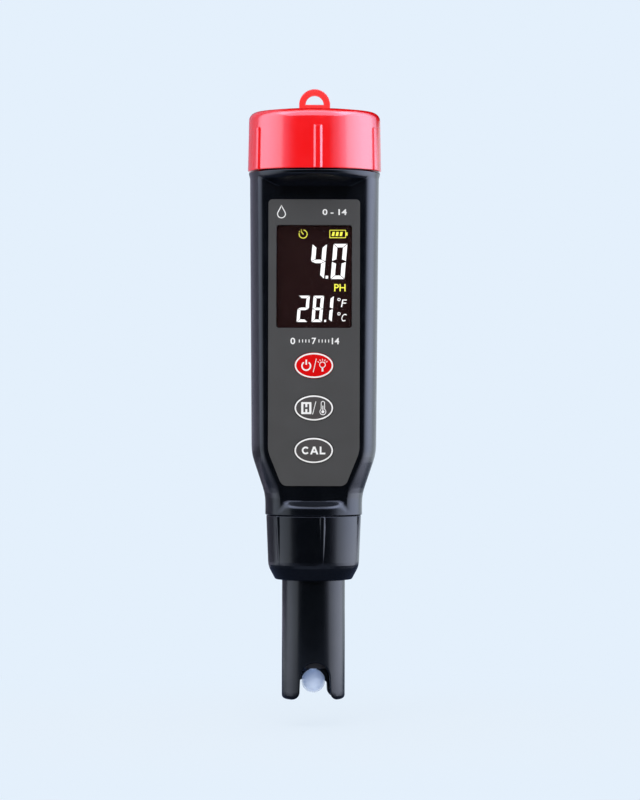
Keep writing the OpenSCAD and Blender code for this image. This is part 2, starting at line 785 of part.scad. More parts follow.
module housing() color(black_plastic) difference() {
    union() {
        difference() {
            barrel_form();
            flat_cut();
            hollow();
            socket_seats();
            translate([0, 0, mouth_ring_z]) rotate_extrude()
                translate([mouth_ring_r - mouth_ring_t / 2 - slip, -mouth_ring_t / 2 - seat_gap])
                    square([mouth_ring_t, mouth_ring_t + 2 * seat_gap]);
        }
        screw_boss();
        thread(mouth_r, 1, cap_thread_z, cap_pitch, cap_turns);
        thread(spigot_r, 1, collar_thread_z, collar_pitch, collar_turns);
    }
    slab(y_flat - over, over + panel_t - panel_proud) polygon(panel_outline(-slip));
    slab(y_flat, wall + over) polygon(panel_outline(panel_ledge));
    at_screws() translate([0, y_board_back - over, 0]) rotate([-90, 0, 0])
        cylinder(d = screw_d + 2 * slip, h = over + screw_len + over);
}

module face_panel() color(panel_grey) slab(y_panel, panel_t) difference() {
    polygon(panel_outline(0));
    polygon(window_outline(0));
    for (z = z_keys) translate([0, z]) polygon(oval(key_w + 2 * key_gap, key_h + 2 * key_gap));
}

function window_outline(inset) =
    let (x = window_w / 2 - inset, low = z_window + inset, top = z_window_top - inset,
         r = max(window_r - inset, slip))
    rounded([[x, top, r], [-x, top, r], [-x, low, r], [x, low, r]]);

module display_window() color(clear_glass)
    slab(y_panel + slip, panel_t - slip) polygon(window_outline(slip));

// Sheet-metal bezel that clamps the display glass on the board
module lcd_bezel() color(steel) difference() {
    slab(y_panel_back, y_board - y_panel_back) rectangle(bezel_w, z_glass - slip - bezel_t, bezel_h);
    slab(y_glass, y_board - y_glass + over)
        rectangle(glass_w + 2 * slip, z_glass - slip, glass_h + 2 * slip);
    slab(y_panel_back - over, over + bezel_t + over) polygon(window_outline(bezel_overlap));
}

module lcd_glass() color([0.14, 0.09, 0.09])
    slab(y_glass, glass_t) rectangle(glass_w, z_glass, glass_h);

module light_guide() color(white_plastic)
    slab(y_light, light_t) rectangle(glass_w, z_window + seat_gap, window_h - 2 * seat_gap);

module contact_strips() color([0.85, 0.55, 0.65])
    for (z = [z_glass, z_window_top])
        slab(y_light, light_t) rectangle(glass_w - 2 * seat_gap, z + seat_gap, strip_h - 2 * seat_gap);

module main_board() color([0.05, 0.30, 0.16]) difference() {
    slab(y_board, board_t) polygon(panel_outline(panel_ledge + board_gap));
    at_screws() translate([0, y_board - over, 0]) rotate([-90, 0, 0])
        cylinder(d = screw_d + 2 * board_hole_gap, h = board_t + 2 * over);
}

// A chip of [width, height, thickness] on the back of the board
module chip(x, z, size) {
    translate([x, 0, 0]) slab(y_board_back, size.z) rectangle(size.x, z - size.y / 2, size.y);
}

module microcontroller() color(rubber) chip(0, z_keys[0], microcontroller_size);
module amplifier_chip() color(rubber) chip(0, z_keys[2] + amplifier_rise, amplifier_size);

module crystal() color(steel)
    translate([crystal_x, y_board_back, z_keys[0]]) rotate([-90, 0, 0]) cylinder(d = crystal_d, h = crystal_h);

module capacitors() color([0.72, 0.60, 0.42])
    for (x = capacitor_places) chip(x, z_keys[1], capacitor_size);

// Two lamps that shine up into the edge of the light guide, on the board below the bezel
module backlight_leds() color([0.95, 0.93, 0.75])
    for (x = [-lamp_x, lamp_x]) translate([x, 0, 0]) slab(y_board - lamp_size.z, lamp_size.z)
        rectangle(lamp_size.x, z_glass - slip - bezel_t - seat_gap - lamp_size.y, lamp_size.y);

module switch_bases() color(rubber) for (z = z_keys) difference() {
    slab(y_switch, switch_h) rectangle(switch_w, z - switch_w / 2, switch_w);
    translate([0, y_switch - over, z]) rotate([-90, 0, 0])
        cylinder(r = plunger_r + slip, h = over + plunger_root + key_travel + seat_gap);
}

module board_screws() color(steel) at_screws() {
    translate([0, y_board - screw_head_t, 0]) rotate([-90, 0, 0]) difference() {
        cylinder(d = screw_head_d, h = screw_head_t);
        for (turn = [0, 90]) rotate(turn)
            cube([screw_slot_len, screw_slot_w, 2 * screw_slot_depth], center = true);
    }
    translate([0, y_board - slip, 0]) rotate([-90, 0, 0])
        cylinder(d = screw_d, h = slip + board_t + screw_len);
}

// An oval key with a lip behind the panel and a stem on its switch
module key(z, tint) color(tint) translate([0, 0, z]) {
    slab(y_key, y_panel_back - y_key) polygon(oval(key_w, key_h));
    slab(y_panel_back, key_lip_t) polygon(oval(key_w + 2 * key_lip, key_h + 2 * key_lip));
    translate([0, y_key_lip_back - slip, 0]) rotate([-90, 0, 0])
        cylinder(d = key_stem_d, h = y_plunger - y_key_lip_back + slip);
}

module plunger(z) color([0.85, 0.75, 0.45])
    translate([0, y_plunger, z]) rotate([-90, 0, 0])
        cylinder(r = plunger_r, h = plunger_h + plunger_root);

module power_key() key(z_keys[0], red_plastic);
module hold_key() key(z_keys[1], panel_grey);
module cal_key() key(z_keys[2], panel_grey);
module power_plunger() plunger(z_keys[0]);
module hold_plunger() plunger(z_keys[1]);
module cal_plunger() plunger(z_keys[2]);

module at_cells() {
    for (side = [-1, 1]) translate([side * cell_pitch / 2, cell_back, 0]) children();
}

// Two wells on a flange that hangs in the mouth; the second well is shallower, for its flat contact
module battery_tray() color(black_plastic) difference() {
    union() {
        rod(seat_r - seat_gap, z_tray_seat, z_tray_top);
        at_cells() rod(tube_r, z_tray, z_tray_top);
    }
    translate([-cell_pitch / 2, cell_back, 0]) rod(well_r, z_well_floor, z_tray_top + over);
    translate([cell_pitch / 2, cell_back, 0]) rod(well_r, z_cell - plate_t, z_tray_top + over);
    at_cells() rod(tail_d / 2 + slip, z_tray - over, z_cell);
    for (x = [-lug_x, lug_x])
        translate([x, 0, z_tray_seat + tray_t / 2])
            cube([lug_t + 2 * lug_gap, lug_w + 2 * lug_gap, tray_t + 2 * over], center = true);
}

// One cell stands nub up and the other nub down
module battery_cells() color([0.60, 0.62, 0.20]) {
    translate([-cell_pitch / 2, cell_back, 0]) {
        rod(cell_d / 2, z_cell, z_cell_top - nub_h);
        rod(nub_d / 2, z_cell_top - nub_h - slip, z_cell_top);
    }
    translate([cell_pitch / 2, cell_back, 0]) {
        rod(cell_d / 2, z_cell + nub_h, z_cell_top);
        rod(nub_d / 2, z_cell, z_cell + nub_h + slip);
    }
}

// Negative contact: a coil on a base plate, with a tail through the tray's floor
module cell_spring() color(steel) translate([-cell_pitch / 2, cell_back, 0]) {
    rod(spring_base_d / 2, z_well_floor, z_well_floor + spring_base_t);
    coil(z_well_floor + spring_base_t - slip, spring_h - spring_base_t);
    rod(tail_d / 2, z_tray - tail_len, z_well_floor + slip);
}

module cell_plate() color(gold) translate([cell_pitch / 2, cell_back, 0]) {
    rod(plate_d / 2, z_cell - plate_t, z_cell);
    rod(tail_d / 2, z_tray - tail_len, z_cell - plate_t + slip);
}

module battery_leads() for (side = [-1, 1]) color(side > 0 ? red_plastic : rubber)
    lead([side * cell_pitch / 2, cell_back, z_tray - tail_len], [0, 0, -1],
         [side * battery_pad_x, y_board_back, battery_pad_z], battery_lead_reach);

module mouth_seal_ring() color(rubber)
    translate([0, 0, mouth_ring_z]) ring(mouth_ring_r, mouth_ring_t);

module at_pins() {
    for (angle = pin_angles) rotate(angle) translate([pin_ring_r, 0, 0]) children();
}

module electrode_socket() color(white_plastic) difference() {
    rod(socket_d / 2, z_socket, z_socket_top);
    at_pins() rod(contact_r + slip, z_socket - over, z_socket_top + over);
}

module socket_contacts() color(gold) at_pins() difference() {
    rod(contact_r, z_socket + slip, z_socket_top + contact_rise);
    rod(contact_bore_r, z_socket - over, z_socket_top + contact_rise - contact_lid);
}

module sensor_leads() color([0.75, 0.75, 0.78]) for (i = [0:3])
    lead([pin_ring_r * cos(pin_angles[i]), pin_ring_r * sin(pin_angles[i]), z_socket_top + contact_rise],
         [0, 0, 1], [sensor_pad(i), y_board_back, sensor_pad_z], sensor_lead_reach);

// Pads along the board, in an order that keeps the leads from crossing
function sensor_pad(i) = [2, -1, -2, 1][i] / 2 * sensor_pad_pitch;

// Keyed disc that lifts with the cap and doesn't turn
module contact_disc() color(white_plastic) difference() {
    union() {
        rod(disc_d / 2, z_disc, z_disc_top);
        for (x = [-lug_x, lug_x])
            translate([x - lug_t / 2, -lug_w / 2, z_lug]) cube([lug_t, lug_w, z_disc - z_lug + slip]);
    }
    rod(pivot_d / 2 + pivot_gap, z_disc - over, z_disc_top + over);
}

module bridge_contact() color(gold)
    translate([-cell_pitch / 2 - spring_d / 2, cell_back - bridge_w / 2, z_bridge])
        cube([cell_pitch + spring_d, bridge_w, bridge_t]);

module bridge_springs() color(steel) at_cells()
    coil(z_cell_top + slip / 2, z_bridge - z_cell_top - slip / 2);

// A ring of ribs with sloped sides and a sloped upper end
module cap_grips() {
    reach = cap_r + cap_rib_proud + over;
    lean = (cap_r - cap_top_r) / cap_h;
    top = z_cap + cap_rib_h;
    outer = cap_r + cap_rib_proud;
    intersection() {
        rotate_extrude() polygon([
            [cap_bore_r + root, z_cap + edge_r], [outer - edge_r, z_cap + edge_r], [outer, z_cap + 2 * edge_r],
            [outer - lean * cap_rib_h, top - cap_rib_proud],
            [cap_r - lean * cap_rib_h - root / 2, top + root / 2],
            [cap_bore_r + root, top + root / 2]]);
        around(cap_ribs, cap_rib_turn) translate([0, 0, z_cap]) linear_extrude(cap_h)
            polygon([[0, -cap_rib_w / 2], [cap_r, -cap_rib_w / 2], [outer, -cap_rib_crest_w / 2],
                     [reach, -cap_rib_crest_w / 2], [reach, cap_rib_crest_w / 2],
                     [outer, cap_rib_crest_w / 2], [cap_r, cap_rib_w / 2], [0, cap_rib_w / 2]]);
    }
}

module battery_cap() color(red_plastic) difference() {
    union() {
        difference() {
            rotate_extrude() polygon(rounded([
                [0, z_cap, 0], [cap_r, z_cap, edge_r], [cap_top_r, z_top, cap_edge_r], [0, z_top, 0]]));
            rod(cap_bore_r, z_cap - over, z_ceiling);
        }
        cap_grips();
        rod(pivot_d / 2, z_pivot, z_ceiling + slip);
        thread(cap_bore_r, -1, cap_thread_z + cap_pitch / 2, cap_pitch, cap_turns);
    }
    rod(pivot_screw_d / 2 + slip, z_pivot - over, z_pivot + pivot_thread_len + slip);
}

module swivel_screw() color(steel) {
    rod(pivot_head_d / 2, z_pivot - pivot_head_t, z_pivot);
    rod(pivot_screw_d / 2, z_pivot - slip, z_pivot + pivot_thread_len);
}

// Half-round eye on a foot, with softened edges
module lanyard_loop() color(red_plastic) {
    outer = loop_w / 2;
    z_eye = z_top + loop_h - outer;
    translate([0, 0, z_eye]) rotate([90, 0, 0]) rotate_extrude(angle = 180)
        translate([outer - loop_bar, 0]) polygon(loop_section());
    translate([0, 0, z_top]) linear_extrude(z_eye - z_top)
        polygon(rounded([[outer, loop_t / 2, loop_edge], [-outer, loop_t / 2, loop_edge],
                         [-outer, -loop_t / 2, loop_edge], [outer, -loop_t / 2, loop_edge]]));
}

function loop_section() = rounded([
    [0, -loop_t / 2, loop_edge], [loop_bar, -loop_t / 2, loop_edge],
    [loop_bar, loop_t / 2, loop_edge], [0, loop_t / 2, loop_edge]]);

// Ribs that lean in and fade out towards the collar nut's foot
module collar_grips() {
    r = collar_rib_d / 2;
    top_x = collar_d / 2 + collar_rib_proud - r;
    fade = (collar_d - collar_low_d) / 2 * collar_rib_len / (collar_h - collar_chamfer);
    low_x = collar_d / 2 - fade - r;
    lean = atan2(top_x - low_x, collar_rib_len);
    intersection() {
        rod(collar_d, z_collar, z_collar_top);
        around(collar_ribs, collar_rib_turn)
            translate([low_x, 0, z_collar_top - collar_rib_len]) rotate([0, lean, 0])
                translate([0, 0, -over]) cylinder(r = r, h = collar_rib_len + 2 * over);
    }
}

module collar_nut() color(black_plastic) difference() {
    union() {
        difference() {
            union() {
                rotate_extrude() polygon(rounded([
                    [0, z_collar, 0], [collar_foot_d / 2, z_collar, collar_edge_r / 2],
                    [collar_low_d / 2, z_collar + collar_chamfer, collar_edge_r],
                    [collar_d / 2, z_collar_top, edge_r], [0, z_collar_top, 0]]));
                collar_grips();
            }
            rod(collar_bore_r, z_flange, z_collar_top + over);
        }
        thread(collar_bore_r, -1, collar_thread_z + collar_pitch / 2, collar_pitch, collar_turns);
    }
    rod(sleeve_land_r + sleeve_gap, z_collar - over, z_flange + over);
}

// Outline of a sample window, with an arched top and rounded feet
function window_shape(height, round_h) =
    let (spring_z = height - round_h, wide = arch_foot_w / 2 + arch_foot_r + over,
         side = arch_foot_w / 2 - (arch_foot_w - arch_w) / 2 * spring_z / (arch_h - arch_round_h),
         feet = rounded([
             [side, spring_z, 0], [-side, spring_z, 0], [-arch_foot_w / 2, 0, arch_foot_r],
             [-wide, 0, 0], [-wide, -over, 0], [wide, -over, 0], [wide, 0, 0],
             [arch_foot_w / 2, 0, arch_foot_r]]),
         arch = [for (a = [arch_step:arch_step:180 - arch_step])
             [side * cos(a), spring_z + round_h * sin(a)]])
    concat([feet[0]], arch, [for (i = [1:len(feet) - 1]) feet[i]]);

// Sample windows through the sleeve's tip: a tall one in front and a low one at the back
module sample_windows() rotate(arch_turn) {
    slab(-sleeve_r - over, sleeve_r + over) polygon(window_shape(arch_h, arch_round_h));
    slab(-over, sleeve_r + 2 * over) polygon(window_shape(arch_back_h, arch_back_round_h));
}

module electrode_sleeve() color(black_plastic) difference() {
    rotate_extrude() polygon(rounded([
        [sleeve_bore_r, 0, 0], [sleeve_r, 0, tip_r], [sleeve_r, z_land, 0],
        [sleeve_land_r, z_land, 0], [sleeve_land_r, z_flange, 0],
        [spigot_r, z_flange, edge_r], [spigot_r, z_gasket, edge_r], [sleeve_bore_r, z_gasket, 0]]));
    sample_windows();
}

module glass_electrode() color(clear_glass) difference() {
    union() {
        translate([0, 0, bulb_z]) sphere(r = bulb_r);
        rod(stem_r, bulb_z, z_stem_top);
    }
    translate([0, 0, bulb_z]) sphere(r = bulb_r - glass_wall);
    rod(stem_r - glass_wall, bulb_z, z_stem_top + over);
}

// Liquid inside the bulb and stem, with room for the wire
module bulb_fill() color([0.70, 0.80, 0.92, 0.6]) difference() {
    union() {
        translate([0, 0, bulb_z]) sphere(r = bulb_r - glass_wall - slip);
        rod(stem_r - glass_wall - slip, bulb_z, fill_top);
    }
    rod(silver_r + slip, wire_low - slip, fill_top + over);
}

module silver_wire() color(steel) rod(silver_r, wire_low, z_stem_top + wire_seat);

module reference_gel() color([0.85, 0.88, 0.80, 0.6]) difference() {
    tube(sleeve_bore_r - slip, stem_r + slip, z_seal_top, z_head - slip);
    translate([reference_wire_r, 0, 0]) rod(silver_r + slip, reference_low - slip, z_head + over);
}

module reference_wire() color(steel)
    translate([reference_wire_r, 0, 0]) rod(silver_r, reference_low, z_stem_top);

module at_sensor(i) {
    rotate(sensor_angles[i]) translate([sensor_r, 0, 0]) children();
}

module tip_seal() color(rubber) difference() {
    tube(sleeve_bore_r - slip, stem_r + slip, seal_z, z_seal_top);
    at_sensor(0) rod(junction_d / 2 + slip, seal_z - over, z_seal_top + over);
    at_sensor(1) rod(sensor_d / 2 + slip, seal_z - over, z_seal_top - sensor_seat);
}

module reference_junction() color(white_plastic)
    at_sensor(0) rod(junction_d / 2, seal_z - junction_proud, z_seal_top);

module temperature_sensor() color(steel) at_sensor(1) {
    rod(sensor_d / 2, seal_z - sensor_proud, z_seal_top - sensor_seat - slip);
    translate([0, 0, seal_z - sensor_proud]) sphere(d = sensor_d, $fn = 48);
}

module electrode_head() color(white_plastic) difference() {
    union() {
        rod(head_plug_r, z_head, z_gasket + slip);
        rod(head_d / 2, z_gasket, z_head_top);
    }
    rod(stem_r + slip, z_head - over, z_stem_top + slip);
    rod(silver_r + slip, z_head, z_stem_top + wire_seat + slip);
    translate([reference_wire_r, 0, 0]) rod(silver_r + slip, z_head - over, z_stem_top + slip);
    at_pins() rod(pin_r + slip / 2, z_head_top - pin_root, z_head_top + over);
    translate([0, 0, head_ring_z]) rotate_extrude()
        translate([head_ring_r - head_ring_t / 2 - slip, -head_ring_t / 2 - seat_gap])
            square([head_ring_t, head_ring_t + 2 * seat_gap]);
}

module contact_pins() color(gold) at_pins() {
    rod(pin_r, z_head_top - pin_root, z_head_top + pin_len - pin_r);
    translate([0, 0, z_head_top + pin_len - pin_r]) sphere(r = pin_r, $fn = 32);
}

module head_seal_ring() color(rubber)
    translate([0, 0, head_ring_z]) ring(head_ring_r, head_ring_t);

module flange_gasket() color(rubber)
    tube(spigot_r, spigot_bore_r, z_gasket, z_spigot);

housing();
face_panel();
display_window();
lcd_bezel();
lcd_glass();
light_guide();
contact_strips();
main_board();
microcontroller();
amplifier_chip();
crystal();
capacitors();
backlight_leds();
switch_bases();
board_screws();
battery_tray();
battery_cells();
cell_spring();
cell_plate();
battery_leads();
mouth_seal_ring();
electrode_socket();
socket_contacts();
sensor_leads();
contact_disc();
bridge_contact();
bridge_springs();
battery_cap();
lanyard_loop();
swivel_screw();
electrode_sleeve();
glass_electrode();
bulb_fill();
silver_wire();
reference_gel();
reference_wire();
tip_seal();
reference_junction();
temperature_sensor();
electrode_head();
contact_pins();
head_seal_ring();
flange_gasket();
collar_nut();
power_key();
power_plunger();
hold_key();
hold_plunger();
cal_key();
cal_plunger();
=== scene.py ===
"""Looks of a pen-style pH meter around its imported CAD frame.

Lengths are millimetres in the CAD frame: +Z runs up the pen's axis and the display faces -Y.
Angles around the axis start at the front and grow towards +X. The stage is in metres.
"""
import json
from math import acos, asin, atan2, ceil, copysign, cos, pi, radians, sin, sqrt, tan

import bmesh
import bpy
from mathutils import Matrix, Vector
from mathutils.bvhtree import BVHTree
from mathutils.geometry import tessellate_polygon


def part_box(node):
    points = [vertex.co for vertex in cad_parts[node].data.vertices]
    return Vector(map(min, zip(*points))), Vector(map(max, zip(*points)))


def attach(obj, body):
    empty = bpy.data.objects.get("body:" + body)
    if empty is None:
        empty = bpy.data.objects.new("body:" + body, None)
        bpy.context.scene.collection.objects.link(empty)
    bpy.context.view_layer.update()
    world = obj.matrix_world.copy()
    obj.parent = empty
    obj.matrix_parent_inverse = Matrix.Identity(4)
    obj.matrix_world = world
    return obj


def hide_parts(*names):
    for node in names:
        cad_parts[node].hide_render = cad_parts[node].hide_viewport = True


MM = 0.001
TURN = 2 * pi

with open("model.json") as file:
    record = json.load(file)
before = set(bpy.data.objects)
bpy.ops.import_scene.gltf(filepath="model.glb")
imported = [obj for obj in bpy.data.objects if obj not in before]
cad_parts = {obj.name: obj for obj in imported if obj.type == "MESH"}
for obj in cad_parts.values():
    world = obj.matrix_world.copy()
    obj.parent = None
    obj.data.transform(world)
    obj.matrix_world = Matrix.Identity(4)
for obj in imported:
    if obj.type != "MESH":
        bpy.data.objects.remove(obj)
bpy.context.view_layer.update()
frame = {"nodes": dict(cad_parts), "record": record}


def low(node):
    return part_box(node)[0] / MM


def high(node):
    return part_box(node)[1] / MM


# Heights of the stack
Z_COLLAR = low("collar_nut").z
Z_COLLAR_TOP = high("collar_nut").z
Z_GASKET = high("electrode_sleeve").z
Z_FLANGE = Z_GASKET - 3
Z_SPIGOT = low("housing").z
Z_MOUTH = high("housing").z
Z_SOCKET = low("electrode_socket").z
Z_SOCKET_TOP = high("electrode_socket").z
Z_LEDGE = Z_SOCKET - 1.5
Z_CAP = low("battery_cap").z
Z_TOP = high("battery_cap").z
Z_CEILING = Z_TOP - 2.4
Z_LOOP = high("lanyard_loop").z
Z_SEAM = Z_COLLAR_TOP + 0.15
Z_NECK = Z_SEAM + 5.85
Z_BARREL = Z_NECK + 12.2
Z_SHOULDER = Z_CAP - 0.35
Z_HOLLOW_TOP = Z_SHOULDER - 2.5
Z_TRAY_SEAT = high("battery_tray").z - 2
Z_PANEL = low("face_panel").z
Z_PANEL_TOP = high("face_panel").z

# Small edges and gaps
EDGE = 0.3
LEAD_IN = 0.5
SLIP = 0.05
CUT_PAST = 1

# Barrel
LIP_R = 19.5
LIP_H = 1.8
BARREL_R = 19.05
BARREL_LOW_R = 18.4
NECK_R = 14.3
SPIGOT_R = 10.7
SPIGOT_BORE_R = 9.0
SOCKET_SEAT_R = high("electrode_socket").x + 0.1
LEDGE_R = high("electrode_socket").x - 1.5
MOUTH_R = 16.2
MOUTH_BORE_R = 14.3
TRAY_SEAT_R = 14.95
WALL = 2.2
NECK_BLEND = 15
FLARE_BLEND = 15
LIP_BLEND = 2
RING_Z = (low("mouth_seal_ring").z + high("mouth_seal_ring").z) / 2
RING_HALF = 1.0
RING_SEAT_R = 15.5

# Flat front, the slope at its top and the crest at its foot
FLAT = 10.5
HOLLOW_FLAT = FLAT - WALL
Z_FLAT_TOP = Z_SHOULDER - 4.65
Z_FLAT_LOW = Z_SEAM + 4.05
SLOPE_H = 3.75
SLOPE_W = 19
SLOPE_CORNER = 1.5
SLOPE_R = LIP_R + 1
SLOPE_POINTS = 120
Z_SLOPE = Z_FLAT_TOP + SLOPE_H
CREST_H = 2.1
CREST_STRAIGHT = 7.0
CREST_BEND = 0.2
CREASE = 0.9
FLAT_EDGE = 1.6
Y_AHEAD = -60

# Spacing of the barrel's rings, up to each height and above, and of the points on them
RING_STEPS = (
    (Z_FLAT_LOW + 1.2, 0.14), (Z_BARREL + 8, 1.2), (Z_FLAT_TOP - 0.8, 2.5), (Z_SLOPE + 0.2, 0.14))
PLAIN_STEP = 2.5
CORNER_LEAST = 0.7
CORNER_MOST = 1.05
CROWDING = 1.5

# Face panel, display window and keys
Y_PANEL = low("face_panel").y
Y_PANEL_BACK = high("face_panel").y
Y_GLASS = low("lcd_glass").y
PANEL_HALF = high("face_panel").x
PANEL_MARGIN = 1.7
PANEL_LEDGE = 0.8
PANEL_TOP_R = 1.2
PANEL_BEND_R = 8
PANEL_FOOT_R = 2.4
PANEL_EDGE = ((0.0, 0.12), (0.02, 0.05), (0.08, 0.01), (0.14, 0.0))
Z_PANEL_BEND = Z_BARREL + 0.7
WINDOW_LOW = low("display_window")
WINDOW_HIGH = high("display_window")
WINDOW_R = 0.85
WINDOW_LEAST_R = 0.1
WINDOW_GROW = 0.17
LENS_SUNK = 0.05
LENS_EDGE = 0.06
LENS_GAP = 0.03
MASK_W = 1.2
MASK_T = 0.02
SIGN_PROUD = 0.04
SIGN_SUNK = 0.02
KEY_SLOTS = {"power": "key_red", "hold": "key_grey", "cal": "key_grey"}
KEY_W = 11.4
KEY_H = 7.5
KEY_GAP = 0.12
KEY_LIP = 0.7
KEY_LIP_T = 0.6
KEY_STEM_R = 2
KEY_CROWN = ((0.0, 0.20), (0.03, 0.15), (0.08, 0.11), (0.50, 0.07), (1.2, 0.03), (2.2, 0.0))
KEY_BAND = KEY_CROWN[2:4]
PRINT = 0.015
KEY_PRINT_SUNK = 0.06
PANEL_PRINT_SUNK = 0.05

# Threads
THREAD_DEPTH = 0.9
THREAD_ROOT_W = 1.3
THREAD_CREST_W = 0.6
THREAD_ROOT = 0.4
THREAD_EDGE = 0.15
CAP_PITCH = 3
CAP_TURNS = 2
CAP_THREAD_Z = Z_MOUTH - 0.9 - CAP_PITCH * (CAP_TURNS + 0.5)
COLLAR_PITCH = 2.5
COLLAR_TURNS = 1.75
COLLAR_THREAD_Z = Z_SPIGOT + LEAD_IN + THREAD_ROOT_W / 2 + 0.45

# Cap
CAP_R = 19.7
CAP_TOP_R = 19.35
CAP_EDGE = 2.5
CAP_BORE_R = 17.4
CAP_DOME = 1.1
CAP_DOME_RINGS = 8
CAP_RIBS = 6
CAP_RIB_TURN = radians(3)
CAP_RIB_H = 12.5
CAP_RIB_W = 2.8
CAP_RIB_CREST_W = 0.95
CAP_RIB_PROUD = 0.6
CAP_RIB_RAMP = 0.3
CAP_RIB_OFFSETS = [0.3, 0.38, *(0.45 + 0.1 * k for k in range(14)), 1.9]
CAP_FINE_LOW = Z_CAP + CAP_RIB_H - 1.2
CAP_FINE_H = 1.9
CAP_FINE_STEP = 0.1
CAP_STEP = 2.0
PIVOT_R = 2.4
PIVOT_HEAD = 0.9
PIVOT_SCREW_R = 1.05
Z_PIVOT = low("swivel_screw").z + PIVOT_HEAD
Z_PIVOT_END = high("swivel_screw").z + SLIP
LOOP_R = high("lanyard_loop").x
LOOP_BAR = 1.95
LOOP_T = 2 * high("lanyard_loop").y
LOOP_FOOT = 1
LOOP_STEPS = 40

# Collar nut
COLLAR_R = 14.0
COLLAR_LOW_R = 13.4
COLLAR_FOOT_R = 11.3
COLLAR_CHAMFER = 3.9
COLLAR_EDGE = 6
COLLAR_FOOT_EDGE = 0.7
COLLAR_BORE_R = 11.9
COLLAR_HOLE_R = 9.9
COLLAR_RIM_W = 1.6
COLLAR_RIM_H = 1
COLLAR_STEP = 0.8
COLLAR_RIBS = 6
COLLAR_RIB_TURN = radians(11)
COLLAR_RIB_R = 0.95
COLLAR_RIB_PROUD = 0.55
COLLAR_RIB_LEN = 17
COLLAR_RIB_BLEND = 0.12
COLLAR_RIB_REACH = 1.2
COLLAR_RIB_OFFSETS = [0.18, 0.36, 0.5, 0.62, 0.72, 0.85, 1.1]

# Electrode
SLEEVE_R = 9.3
SLEEVE_BORE_R = 7.7
SLEEVE_LAND_R = 9.6
SLEEVE_LAND_EDGE = 0.1
SLEEVE_GRID_TOP = 15.0
SLEEVE_PLAIN_LOW = 25
SLEEVE_ROWS = 12
SLEEVE_EDGE = 0.35
SLEEVE_EDGE_ROWS = 5
Z_LAND = Z_COLLAR - 0.2
TIP_ROUND = 1.2
TIP_POINTS = 10
ARCH_HALF = 4.35
ARCH_FOOT_HALF = 4.65
ARCH_H = 11.1
ARCH_ROUND_H = 4.6
ARCH_POINTS = 10
ARCH_SIDE_POINTS = 5
BACK_ARCH_H = 5.4
BACK_ARCH_ROUND_H = 1.4
ARCH_FOOT_R = 2.4
ARCH_TURN = radians(4)
BULB_R = high("glass_electrode").x
BULB_Z = low("glass_electrode").z + BULB_R
BULB_SIDES = 64
BULB_POINTS = 28
GLASS_WALL = 0.5
GLASS_NECK_R = 1.0
GLASS_NECK_THIN = 0.8
GLASS_NECK_BLEND = 0.12
GLASS_NECK_TURN = 0.08
Z_GLASS_NECK = low("tip_seal").z + 0.6
STEM_R = 2.6
STEM_CONE = 0.9
STEM_EDGE = 0.2


# Outlines and meshes

ARC_STEP = radians(9)
ARC_LEAST_STEPS = 3
STEP_SLACK = 1.01
ON_AXIS = 1e-6
SHARP = 32


def clamp(value, least=0.0, most=1.0):
    return max(least, min(most, value))


def ease(value):
    share = clamp(value)
    return share * share * (3 - 2 * share)


def soft_min(a, b, blend):
    """The lesser of two values, rounded off where they cross."""
    share = clamp(0.5 + 0.5 * (b - a) / blend)
    return b + (a - b) * share - blend * share * (1 - share)


def soft_max(a, b, blend):
    return -soft_min(-a, -b, blend)


def quarter(steps):
    """Angles from 0 to a right angle."""
    return [pi / 2 * k / steps for k in range(steps + 1)]


def even_angles(count):
    return [TURN * k / count for k in range(count)]


def rounded(corners, closed=True):
    """Outline through (x, y, radius) corners, each rounded to its radius."""
    points = []
    count = len(corners)
    for i, (x, y, radius) in enumerate(corners):
        at_end = not closed and i in (0, count - 1)
        if at_end or radius <= 0:
            points.append((x, y))
            continue
        here = Vector((x, y))
        back = (Vector(corners[i - 1][:2]) - here).normalized()
        on = (Vector(corners[(i + 1) % count][:2]) - here).normalized()
        half = back.angle(on) / 2
        centre = here + (back + on).normalized() * (radius / sin(half))
        start = here + back * (radius / tan(half)) - centre
        end = here + on * (radius / tan(half)) - centre
        sweep = atan2(start.cross(end), start.dot(end))
        first = atan2(start.y, start.x)
        steps = max(ARC_LEAST_STEPS, ceil(abs(sweep) / ARC_STEP))
        for k in range(steps + 1):
            angle = first + sweep * k / steps
            points.append((centre.x + radius * cos(angle), centre.y + radius * sin(angle)))
    return points


def rounded_box(left, right, base, top, radius):
    return rounded([(right, top, radius), (left, top, radius), (left, base, radius), (right, base, radius)])


def oval(half_w, half_h, x=0.0, z=0.0, count=96):
    """Points of an ellipse around (x, z)."""
    return [(x + half_w * cos(a), z + half_h * sin(a)) for a in even_angles(count)]


def circle(x, z, radius, angles):
    """Points of a circle at angles in degrees."""
    return [(x + radius * cos(a), z + radius * sin(a)) for a in map(radians, angles)]


def arc(x, z, radius, start, end, count=28):
    """Points of a circle between two angles in degrees."""
    return circle(x, z, radius, [start + (end - start) * k / count for k in range(count + 1)])


def refined(profile, step):
    """A profile of (r, z) points with more points, none further than step(z) from the last."""
    points = [profile[0]]
    for (r0, z0), (r1, z1) in zip(profile, profile[1:]):
        z = z0
        while abs(z1 - z) > step(z) * STEP_SLACK:
            z += copysign(step(z), z1 - z)
            share = (z - z0) / (z1 - z0)
            points.append((r0 + (r1 - r0) * share, z))
        points.append((r1, z1))
    return points


def at(radius, angle, z):
    """The point at a radius and an angle around the axis."""
    return radius * sin(angle), -radius * cos(angle), z


def around(radius, z, angles):
    return [at(radius, angle, z) for angle in angles]


